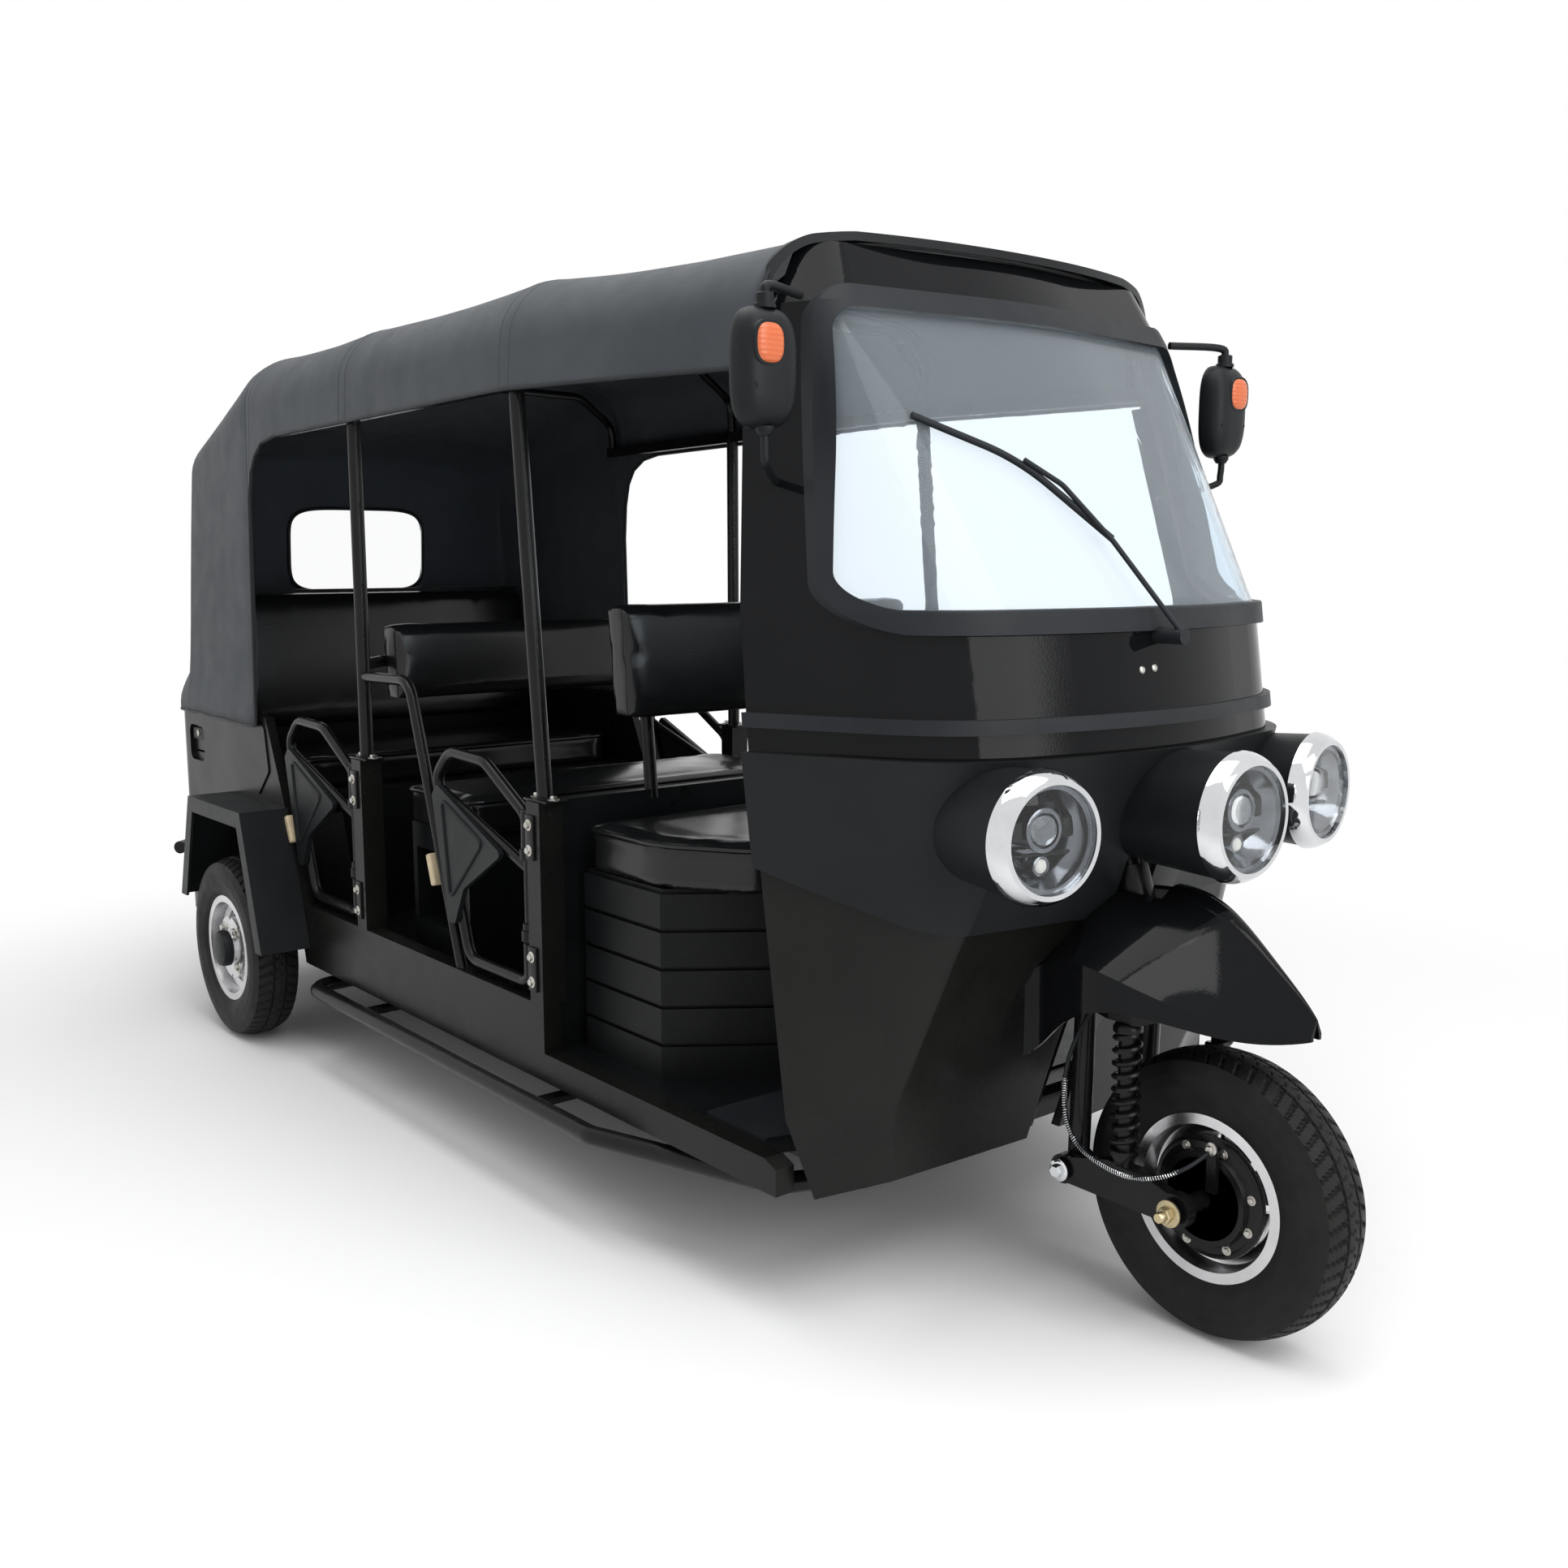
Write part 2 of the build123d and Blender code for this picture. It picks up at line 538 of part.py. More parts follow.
# Chassis: two rails that rise over the rear axle, cross members and the neck to the steering head
RAIL_Y = BODY_HALF - 210
RAIL_WIDTH = 50
RAIL_HEIGHT = 66
RAIL_Z = FLOOR_Z - FLOOR_THICKNESS - RAIL_HEIGHT / 2
RAIL_RISE = 130
RAIL_FRONT_X = PILLAR_X + 80
RAIL_REAR_X = REAR_X + PANEL + 30
KICK_X = REAR_AXLE_X + 150
NECK_WIDTH = 60
TOW_HOLE_R = 11
TOW_LUG = 12
TOW_LUG_R = 28
TOW_Z = 196
with BuildPart() as chassis:
    low = RAIL_Z - RAIL_HEIGHT / 2
    high = RAIL_Z + RAIL_HEIGHT / 2
    for sign in (-1, 1):
        side_prism([(RAIL_FRONT_X, low), (RAIL_FRONT_X, high), (KICK_X, high),
                    (KICK_X - 90, high + RAIL_RISE),
                    (RAIL_REAR_X, high + RAIL_RISE), (RAIL_REAR_X, low + RAIL_RISE), (KICK_X - 70,
                                                                                      low + RAIL_RISE),
                    (KICK_X + 20, low)], sign * RAIL_Y + RAIL_WIDTH / 2, sign * RAIL_Y - RAIL_WIDTH / 2)
    for cross_x in (RAIL_FRONT_X - 30, MID_POST_X, REAR_POST_X, KICK_X + 40):
        block(cross_x - 20, cross_x + 20, -RAIL_Y, RAIL_Y, low + 6, high - 6)
    for cross_x in (MID_POST_X, REAR_POST_X):
        block(cross_x - 20, cross_x + 20, -BODY_HALF + SILL_DEPTH, BODY_HALF - SILL_DEPTH, SILL_BOTTOM,
              high - 6)
    for cross_x in (REAR_AXLE_X - 330, RAIL_REAR_X + 20):
        block(cross_x - 20, cross_x + 20, -RAIL_Y, RAIL_Y, low + RAIL_RISE + 6, high + RAIL_RISE - 6)
    side_prism([(RAIL_FRONT_X - 50, low + 6), (RAIL_FRONT_X + 10, low + 6),
                (PILLAR_X + 215, HEAD_TUBE[0] - 5),
                (stem_x(HEAD_TUBE[0]) - 15, HEAD_TUBE[0] + 15), (stem_x(HEAD_TUBE[1]) - 20,
                                                                 HEAD_TUBE[1] - 30),
                (PILLAR_X + 185, HEAD_TUBE[0] + 30), (RAIL_FRONT_X - 50, high - 6)],
               NECK_WIDTH / 2, -NECK_WIDTH / 2)
    head_from = (stem_x(HEAD_TUBE[0]), 0, HEAD_TUBE[0])
    head_long = along_stem(*HEAD_TUBE)
    round_bar(head_from, STEER_AXIS, HEAD_R, head_long)
    round_bar((stem_x(HEAD_Z - 60), 0, HEAD_Z - 60), STEER_AXIS, STEM_R + GAP, head_long + 200,
              Mode.SUBTRACT)
    tow_x = REAR_X + 40
    with BuildSketch(Plane.XZ):
        with Locations((tow_x, TOW_Z)):
            Circle(TOW_LUG_R)
        with BuildLine():
            Polyline((tow_x - TOW_LUG_R + 8, TOW_Z + 16), (tow_x + TOW_LUG_R, TOW_Z),
                     (RAIL_REAR_X + 40, low + RAIL_RISE + 8), (RAIL_REAR_X + 4,
                                                               low + RAIL_RISE + 8), close=True)
        make_face()
        with Locations((tow_x, TOW_Z)):
            Circle(TOW_HOLE_R, mode=Mode.SUBTRACT)
    extrude(amount=TOW_LUG / 2, both=True)
save(chassis, "chassis_frame")

FLOOR_HALF = BODY_HALF - SILL_DEPTH
TUB_INNER = BODY_HALF - 160
TUB_WALL = 10
ARCH_TOP_Z = 600
ARCH_TOP_HALF = 165
ARCH_FRONT = 270
ARCH_REAR = 285
ARCH_FOOT_Z = SILL_BOTTOM
SEAT_RISER_X = REAR_AXLE_X + 140
with BuildPart() as floor_pan:
    narrow_x = REAR_AXLE_X + ARCH_FRONT + 30
    with BuildSketch(Plane.XY.offset(FLOOR_Z - FLOOR_THICKNESS)):
        with BuildLine():
            Polyline((SEAT_RISER_X, -TUB_INNER + 5), (narrow_x, -TUB_INNER + 5), (narrow_x, -FLOOR_HALF),
                     (PILLAR_X - 5, -FLOOR_HALF), (PILLAR_X + 50, -360), (PILLAR_X + 105, -330),
                     (PILLAR_X + 105, 330), (PILLAR_X + 50, 360), (PILLAR_X - 5, FLOOR_HALF),
                     (narrow_x, FLOOR_HALF), (narrow_x, TUB_INNER - 5), (SEAT_RISER_X,
                                                                         TUB_INNER - 5), close=True)
        make_face()
    extrude(amount=FLOOR_THICKNESS)
    add(chassis.part, mode=Mode.SUBTRACT)
save(floor_pan, "floor_pan")

MAT = 5
SEAT_FRONT_X = PILLAR_X - 205
SEAT_BACK_X = MID_POST_X + 45
with BuildPart() as mat:
    with BuildSketch(Plane.XY.offset(FLOOR_Z)):
        with BuildLine():
            Polyline((SEAT_FRONT_X + 15, -FLOOR_HALF + 12), (PILLAR_X - 20, -FLOOR_HALF + 12),
                     (PILLAR_X + 50, -350), (PILLAR_X + 50, 350), (PILLAR_X - 20, FLOOR_HALF - 12),
                     (SEAT_FRONT_X + 15, FLOOR_HALF - 12), close=True)
        make_face()
    extrude(amount=MAT)
    add(chassis.part, mode=Mode.SUBTRACT)
save(mat, "floor_mat")

# Sides: sill with the two hinge posts and their strap hinges
QUARTER_FOOT_X = QUARTER_X + 215
DOOR_Y = BODY_HALF - 18
DOOR_TUBE = 25
HINGE_BEHIND_POST = 22
HINGE_HEIGHTS = (520, 690)
HINGE_HEIGHT = 22
HINGE_R = 20
POSTS = (MID_POST_X, REAR_POST_X)
with BuildPart() as sills:
    side_prism([(PILLAR_X + 70, SILL_BOTTOM), (PILLAR_X + 70, FLOOR_Z - 12), (PILLAR_X + 40, FLOOR_Z),
                (MID_POST_X + POST_WIDTH / 2, FLOOR_Z), (MID_POST_X + POST_WIDTH / 2, THRESHOLD_Z),
                (QUARTER_FOOT_X, THRESHOLD_Z), (QUARTER_FOOT_X, SILL_BOTTOM)],
               -FLOOR_HALF, -BODY_HALF)
    for post_x in POSTS:
        block(post_x - POST_WIDTH / 2, post_x + POST_WIDTH / 2, -BODY_HALF, -BODY_HALF + POST_DEPTH,
              THRESHOLD_Z, WAIST_Z)
        hinge_x = post_x - POST_WIDTH / 2 - HINGE_BEHIND_POST
        for z in HINGE_HEIGHTS:
            with BuildSketch(Plane.XY.offset(z)):
                with Locations((hinge_x, -DOOR_Y)):
                    Circle(HINGE_R)
                with Locations((hinge_x + 15, -DOOR_Y)):
                    Rectangle(30, 30)
                with Locations((hinge_x, -DOOR_Y)):
                    Circle(DOOR_TUBE / 2 + GAP, mode=Mode.SUBTRACT)
            extrude(amount=HINGE_HEIGHT)
    cab_solid(LOWER_PLANS, GAP, Mode.SUBTRACT)
    mirror(about=Plane.XZ)
save(sills, "side_sills")

BULKHEAD = 20
with BuildPart() as bulkhead:
    block(MID_POST_X - BULKHEAD / 2, MID_POST_X + BULKHEAD / 2, -FLOOR_HALF, FLOOR_HALF, FLOOR_Z,
          THRESHOLD_Z)
    block(MID_POST_X - BULKHEAD / 2, MID_POST_X + BULKHEAD / 2, -BODY_HALF + POST_DEPTH,
          BODY_HALF - POST_DEPTH,
          THRESHOLD_Z, WAIST_Z)
save(bulkhead, "bulkhead")

# Roof: square rails carried by tube posts, bows across, canvas over them
POST_Y = BODY_HALF - 30
POST_TUBE = 32
POST_LEAN = 75
ROOF_MID_X = MID_POST_X - POST_LEAN
ROOF_FRONT_HALF = BODY_HALF - 98
FOOT_R = 30
FOOT = 8


def rail_z(x):
    if x > ROOF_MID_X:
        share = (x - ROOF_MID_X) / (ROOF_FRONT_X - ROOF_MID_X)
        return RAIL_MID_Z + share * (RAIL_FRONT_Z - RAIL_MID_Z)
    share = (x - ROOF_MID_X) / (QUARTER_X - ROOF_MID_X)
    return RAIL_MID_Z + share * (RAIL_REAR_Z - RAIL_MID_Z)


CANVAS = 6
# place along X, half width, hem height, shoulder height, crown height, shoulder bend, lean of the side
ROOF_SECTIONS = [
    (ROOF_FRONT_X + 10, ROOF_FRONT_HALF + 24, RAIL_FRONT_Z - 4, 1800, 1850, 110, 10),
    (ROOF_MID_X, POST_Y + 24, RAIL_MID_Z - 4, 1822, 1872, 120, 10),
    (QUARTER_X, POST_Y + 26, RAIL_REAR_Z - 4, 1795, 1846, 120, 10),
]
BACK_SECTIONS = [
    (QUARTER_X, POST_Y + 32, QUARTER_TOP, 1795, 1846, 120, 10),
    (QUARTER_X - 90, POST_Y + 32, QUARTER_TOP, 1785, 1836, 120, 14),
    (REAR_X + 150, POST_Y + 32, QUARTER_TOP, 1640, 1680, 120, 50),
    (REAR_X + 40, POST_Y, QUARTER_TOP, 1560, 1590, 120, 60),
    (REAR_X, POST_Y - 40, QUARTER_TOP, 1530, 1556, 110, 50),
]


def arch_face(x, half, hem, shoulder, crown, bend, lean, inset):
    with BuildSketch(Plane.YZ.offset(x), mode=Mode.PRIVATE) as arch:
        with BuildLine():
            foot = half - inset
            top = half - lean - inset
            Polyline((-top, shoulder - inset), (-foot, hem), (foot, hem), (top, shoulder - inset))
            ThreePointArc((-top, shoulder - inset), (0, crown - inset), (top, shoulder - inset))
        make_face()
        fillet(arch.vertices().group_by(Axis.Y)[-1], bend - inset)
    return arch.sketch


with BuildPart() as roof_frame:
    for sign in (-1, 1):
        rail_path = [(ROOF_FRONT_X + HEADER_LAP, sign * ROOF_FRONT_HALF, RAIL_FRONT_Z),
                     (ROOF_MID_X, sign * POST_Y, RAIL_MID_Z), (QUARTER_X - 60, sign * POST_Y, RAIL_REAR_Z)]
        for start, end in zip(rail_path[:-1], rail_path[1:]):
            run = Vector(end) - Vector(start)
            plane = Plane(origin=start, x_dir=Vector(-run.Y, run.X, 0), z_dir=run)
            with BuildSketch(plane) as bar:
                Rectangle(RAIL, RAIL)
            extrude(amount=run.length)
    for bow_x, half, crown in ((ROOF_MID_X, POST_Y, 1872), (REAR_POST_X, POST_Y, 1856),
                               (QUARTER_X - 40, POST_Y - 4, 1826), (ROOF_FRONT_X - 20, ROOF_FRONT_HALF + 1,
                                                                    1850)):
        z = rail_z(max(bow_x, QUARTER_X))
        top = crown - CANVAS - 40
        tube([(bow_x, -half, z), (bow_x, -half + 6, top - 90), (bow_x, -half + 120, top - 8),
              (bow_x, 0, top),
              (bow_x, half - 120, top - 8), (bow_x, half - 6, top - 90), (bow_x, half, z)],
             [60, 70, 900, 70, 60], 22)
    add(surround.part, mode=Mode.SUBTRACT)
save(roof_frame, "roof_frame")

with BuildPart() as posts:
    for foot_x, top_x in ((MID_POST_X, ROOF_MID_X), (REAR_POST_X, REAR_POST_X)):
        tube([(foot_x, -POST_Y, WAIST_Z), (top_x, -POST_Y, rail_z(top_x))], 0, POST_TUBE)
        round_bar((foot_x, -POST_Y, WAIST_Z), (0, 0, 1), FOOT_R - 5, FOOT)
    mirror(about=Plane.XZ)
    add(roof_frame.part, mode=Mode.SUBTRACT)
    block(MID_POST_X - 100, MID_POST_X + 100, -BODY_HALF, BODY_HALF, WAIST_Z - 60, WAIST_Z, Mode.SUBTRACT)
save(posts, "roof_posts")

with BuildPart() as canopy_roof:
    loft(sections=[arch_face(*row, 0) for row in ROOF_SECTIONS], ruled=True)
    loft(sections=[arch_face(row[0], row[1], row[2] - 1, *row[3:], CANVAS) for row in ROOF_SECTIONS],
         ruled=True,
         mode=Mode.SUBTRACT)
save(canopy_roof, "canopy_roof")

WINDOW_HALF = 220
WINDOW_Z = 1314
WINDOW_HEIGHT = 250
WINDOW_BEND = 60
BACK_LEAN = 55
FLAP_BACK = 40
BACK_TOP = 1700


def behind_wall(inset, mode):
    side_prism([(REAR_X + inset, QUARTER_TOP - 5), (REAR_X + BACK_LEAN + inset, BACK_TOP),
                (REAR_X - 100, BACK_TOP),
                (REAR_X - 100, QUARTER_TOP - 5)], WIDE, -WIDE, mode=mode)


with BuildPart() as canopy_inside:
    loft(sections=[arch_face(row[0], row[1], row[2] - 1, *row[3:], CANVAS) for row in BACK_SECTIONS],
         ruled=True)
    behind_wall(CANVAS, Mode.SUBTRACT)
with BuildPart() as canopy_rear:
    loft(sections=[arch_face(*row, 0) for row in BACK_SECTIONS], ruled=True)
    behind_wall(0, Mode.SUBTRACT)
    add(canopy_inside.part, mode=Mode.SUBTRACT)
    side_prism([(QUARTER_X - FLAP_BACK, QUARTER_TOP - 60), (QUARTER_X - FLAP_BACK, RAIL_REAR_Z - 4),
                (QUARTER_X + 200, RAIL_REAR_Z - 4), (QUARTER_X + 200, QUARTER_TOP - 60)], WIDE, -WIDE,
               bend=FLAP_BACK - 2, mode=Mode.SUBTRACT)
    with BuildSketch(Plane.YZ.offset(REAR_X - 10)):
        with Locations((0, WINDOW_Z)):
            RectangleRounded(2 * WINDOW_HALF, WINDOW_HEIGHT, WINDOW_BEND)
    extrude(amount=BACK_LEAN + 40, mode=Mode.SUBTRACT)
save(canopy_rear, "canopy_rear")

with BuildPart() as rear_window:
    side_prism([(REAR_X + 1, QUARTER_TOP - 5), (REAR_X + CANVAS - 1, QUARTER_TOP - 5),
                (REAR_X + BACK_LEAN + CANVAS - 1, BACK_TOP), (REAR_X + BACK_LEAN + 1,
                                                              BACK_TOP)], WIDE, -WIDE)
    with BuildSketch(Plane.YZ.offset(REAR_X - 10)):
        with Locations((0, WINDOW_Z)):
            RectangleRounded(2 * WINDOW_HALF - GAP, WINDOW_HEIGHT - GAP, WINDOW_BEND)
    extrude(amount=BACK_LEAN + 40, mode=Mode.INTERSECT)
save(rear_window, "rear_window")

# Roof cap: moulded visor that bridges the canvas and the header
CAP_WALL = 14
CAP_SECTIONS = [
    (ROOF_FRONT_X + 11, ROOF_FRONT_HALF + 22, 1700, 1806, 1852, 100, 10),
    (PILLAR_X - 10, 474, 1740, 1828, 1842, 60, 10),
    (PILLAR_X + 42, 444, 1796, 1822, 1832, 20, 10),
]
CAP_NOSE = 40
CAP_WING = 108
with BuildPart() as roof_cap:
    loft(sections=[arch_face(*row, 0) for row in CAP_SECTIONS], ruled=True)
    loft(sections=[arch_face(row[0], row[1], row[2] - 5, *row[3:], CAP_WALL) for row in CAP_SECTIONS],
         ruled=True,
         mode=Mode.SUBTRACT)
    with BuildSketch(Plane.XY.offset(1650), mode=Mode.PRIVATE) as front_edge:
        with BuildLine():
            Polyline((PILLAR_X - CAP_WING, -BODY_HALF), (PILLAR_X - 300, -BODY_HALF),
                     (PILLAR_X - 300, BODY_HALF),
                     (PILLAR_X - CAP_WING, BODY_HALF))
            ThreePointArc((PILLAR_X - CAP_WING, BODY_HALF), (PILLAR_X + CAP_NOSE, 0),
                          (PILLAR_X - CAP_WING, -BODY_HALF))
        make_face()
    extrude(front_edge.sketch, amount=300, mode=Mode.INTERSECT)
    cab_solid(UPPER_PLANS, GAP, Mode.SUBTRACT)
save(roof_cap, "roof_cap")

# Rear body: quarter panels with wheel tubs, the rear panel between them
REAR_BEND = 90
arch_points = [(REAR_AXLE_X + ARCH_FRONT, ARCH_FOOT_Z - 5), (REAR_AXLE_X + ARCH_TOP_HALF, ARCH_TOP_Z),
               (REAR_AXLE_X - ARCH_TOP_HALF, ARCH_TOP_Z), (REAR_AXLE_X - ARCH_REAR, ARCH_FOOT_Z - 5)]


def arch_prism(grow, y0, y1, mode):
    front, top_front, top_rear, rear = arch_points
    side_prism([(front[0] + grow, front[1]), (top_front[0] + 0.6 * grow, top_front[1] + grow),
                (top_rear[0] - 0.6 * grow, top_rear[1] + grow), (rear[0] - grow,
                                                                 rear[1])], y0, y1, mode=mode)


with BuildPart() as rear_body:
    with BuildSketch(Plane.XY.offset(SILL_BOTTOM)) as plan:
        with Locations((REAR_X + 600, 0)):
            Rectangle(1200, 2 * BODY_HALF)
        fillet(plan.vertices().group_by(Axis.X)[0], REAR_BEND)
        with Locations((REAR_X + PANEL + 600, 0)):
            Rectangle(1200, 2 * (BODY_HALF - PANEL), mode=Mode.SUBTRACT)
    extrude(amount=QUARTER_TOP - SILL_BOTTOM)
    side_prism([(QUARTER_X, QUARTER_TOP + 10), (QUARTER_X, QUARTER_TOP - 10), (QUARTER_FOOT_X, THRESHOLD_Z),
                (QUARTER_FOOT_X, SILL_BOTTOM - 10), (QUARTER_X + 900, SILL_BOTTOM - 10),
                (QUARTER_X + 900, QUARTER_TOP + 10)], WIDE, -WIDE, mode=Mode.SUBTRACT)
REAR_SPLIT_X = REAR_X + REAR_BEND + 10
PRESSING = 4
PRESSING_FOOT_Z = 656
PRESSING_TOP_Z = 850
PRESSING_BEND = 70
RECESS_X = REAR_SPLIT_X + 85
RECESS_Z = 755
RECESS = (116, 104)
with BuildPart() as quarters:
    add(rear_body.part)
    for sign in (-1, 1):
        face = sign * BODY_HALF
        side_prism([(REAR_SPLIT_X - 60, PRESSING_TOP_Z), (REAR_SPLIT_X - 60, PRESSING_FOOT_Z),
                    (QUARTER_X - PRESSING_BEND, PRESSING_FOOT_Z), (QUARTER_X + 10,
                                                                   PRESSING_FOOT_Z + PRESSING_BEND),
                    (QUARTER_X - 12, PRESSING_TOP_Z)], max(face, face + sign * PRESSING),
                   min(face, face + sign * PRESSING), bend=20)
        with BuildSketch(Plane(origin=(RECESS_X, face + sign * PRESSING, RECESS_Z), x_dir=(1, 0, 0),
                               z_dir=(0, sign, 0))):
            RectangleRounded(*RECESS, 24)
        extrude(amount=-3 * PRESSING, mode=Mode.SUBTRACT)
    block(REAR_X - 50, REAR_SPLIT_X, -WIDE, WIDE, 0, 1000, Mode.SUBTRACT)
    for sign in (-1, 1):
        outer, inner = sign * (BODY_HALF - PANEL / 2), sign * TUB_INNER
        arch_prism(TUB_WALL, max(outer, inner), min(outer, inner), Mode.ADD)
    block(REAR_X, QUARTER_X + 600, -WIDE, WIDE, SILL_BOTTOM - 50, SILL_BOTTOM, Mode.SUBTRACT)
    for sign in (-1, 1):
        outer, inner = sign * (BODY_HALF + 20), sign * (TUB_INNER + TUB_WALL)
        arch_prism(0, max(outer, inner), min(outer, inner), Mode.SUBTRACT)
        block(REAR_AXLE_X - 60, REAR_AXLE_X + 60, sign * (TUB_INNER - 10), sign * (TUB_INNER + TUB_WALL + 5),
              SILL_BOTTOM - 10, TYRE_R + 85, Mode.SUBTRACT)
save(quarters, "quarter_panels")

PLATE_HOLE_R = 3.5
PLATE_HOLE_SPACING = 150
PLATE_Z = 560
with BuildPart() as rear_panel:
    add(rear_body.part)
    block(REAR_SPLIT_X, QUARTER_X + 600, -WIDE, WIDE, 0, 1000, Mode.SUBTRACT)
    with Locations(Plane(origin=(REAR_X, 0, PLATE_Z), x_dir=(0, 1, 0), z_dir=(-1, 0, 0))):
        with GridLocations(PLATE_HOLE_SPACING, 1, 2, 1):
            Hole(PLATE_HOLE_R, depth=2 * PANEL)
save(rear_panel, "rear_panel")

FLARE_REACH = 130
FLARE_LIP = 42
FLARE_WALL = 7
with BuildPart() as flares:
    arch_prism(FLARE_LIP, -BODY_HALF, -BODY_HALF - FLARE_REACH, Mode.ADD)
    arch_prism(FLARE_LIP - FLARE_WALL, -BODY_HALF + 5, -BODY_HALF - FLARE_REACH + FLARE_WALL, Mode.SUBTRACT)
    arch_prism(0, -BODY_HALF + 5, -BODY_HALF - FLARE_REACH - 5, Mode.SUBTRACT)
    block(REAR_AXLE_X - 600, REAR_AXLE_X, -WIDE, -BODY_HALF + 5, 0, 350, Mode.SUBTRACT)
    block(REAR_AXLE_X, REAR_AXLE_X + 600, -WIDE, -BODY_HALF + 5, 0, 285, Mode.SUBTRACT)
    mirror(about=Plane.XZ)
save(flares, "wheel_flares")

# Rear axle, springs and drive
AXLE_TUBE_R = 36
SPRING_LEAF = 9
SPRING_WIDTH = 50
SPRING_HALF = 350
REAR_AXLE_END = TRACK / 2 - RIM_HALF
with BuildPart() as rear_axle:
    round_bar((REAR_AXLE_X, -REAR_AXLE_END + 25, TYRE_R), (0, 1, 0), AXLE_TUBE_R, 2 * REAR_AXLE_END - 50)
    round_bar((REAR_AXLE_X, -TRACK / 2 - HUB_HALF, TYRE_R), (0, 1, 0), AXLE_R, TRACK + 2 * HUB_HALF)
    with Locations((REAR_AXLE_X, 0, TYRE_R)):
        Sphere(105)
    block(REAR_AXLE_X + 60, REAR_AXLE_X + 145, -95, 95, TYRE_R - 75, TYRE_R + 32)
    round_bar((REAR_AXLE_X - 60, 0, TYRE_R), (-1, 0, 0), 92, 240)
    for sign in (-1, 1):
        round_bar((REAR_AXLE_X, sign * (TRACK / 2 - HUB_HALF - RUN_GAP), TYRE_R), (0, -sign, 0), 96, 10)
save(rear_axle, "rear_axle")

with BuildPart() as springs:
    seat_z = TYRE_R - AXLE_TUBE_R
    rail_low = RAIL_Z - RAIL_HEIGHT / 2
    for sign in (-1, 1):
        y = sign * RAIL_Y
        for leaf in range(4):
            half = SPRING_HALF - 75 * leaf
            z = seat_z - SPRING_LEAF * (leaf + 1)
            block(REAR_AXLE_X - half, REAR_AXLE_X + half, y - SPRING_WIDTH / 2, y + SPRING_WIDTH / 2, z,
                  z + SPRING_LEAF)
        block(REAR_AXLE_X - 45, REAR_AXLE_X + 45, y - 34, y + 34, seat_z - 4 * SPRING_LEAF - 8, seat_z + 14)
        for end, top in ((-SPRING_HALF + 20, rail_low + RAIL_RISE), (SPRING_HALF - 20, rail_low)):
            block(REAR_AXLE_X + end - 20, REAR_AXLE_X + end + 20, y - 20, y + 20, seat_z - SPRING_LEAF, top)
    add(rear_axle.part, mode=Mode.SUBTRACT)
    add(chassis.part, mode=Mode.SUBTRACT)
save(springs, "leaf_springs")

# Seats: moulded driver box, bench bases, cushions and backrests
DRIVER_SEAT_TOP = 770
DRIVER_CUSHION = 95
BENCH_TOP = 750
BENCH_CUSHION = 90
BOX_BANDS = 5
SEAT_HALF = BODY_HALF - 70
BOX_HALF = SEAT_HALF - 20
with BuildPart() as seat_box:
    band = (DRIVER_SEAT_TOP - DRIVER_CUSHION - FLOOR_Z) / BOX_BANDS
    for level in range(BOX_BANDS):
        with BuildSketch(Plane.XY.offset(FLOOR_Z + level * band)):
            with BuildLine():
                Polyline((SEAT_BACK_X, -BOX_HALF), (SEAT_FRONT_X - 180, -BOX_HALF),
                         (SEAT_FRONT_X - 30, -300),
                         (SEAT_FRONT_X - 30, 300), (SEAT_FRONT_X - 180, BOX_HALF), (SEAT_BACK_X,
                                                                                    BOX_HALF), close=True)
            make_face()
        extrude(amount=band - 8)
        with BuildSketch(Plane.XY.offset(FLOOR_Z + (level + 1) * band - 8)):
            with BuildLine():
                Polyline((SEAT_BACK_X, -BOX_HALF + 10), (SEAT_FRONT_X - 185, -BOX_HALF + 10),
                         (SEAT_FRONT_X - 40, -296), (SEAT_FRONT_X - 40, 296), (SEAT_FRONT_X - 185,
                                                                               BOX_HALF - 10),
                         (SEAT_BACK_X, BOX_HALF - 10), close=True)
            make_face()
        extrude(amount=8)
save(seat_box, "driver_seat_box")

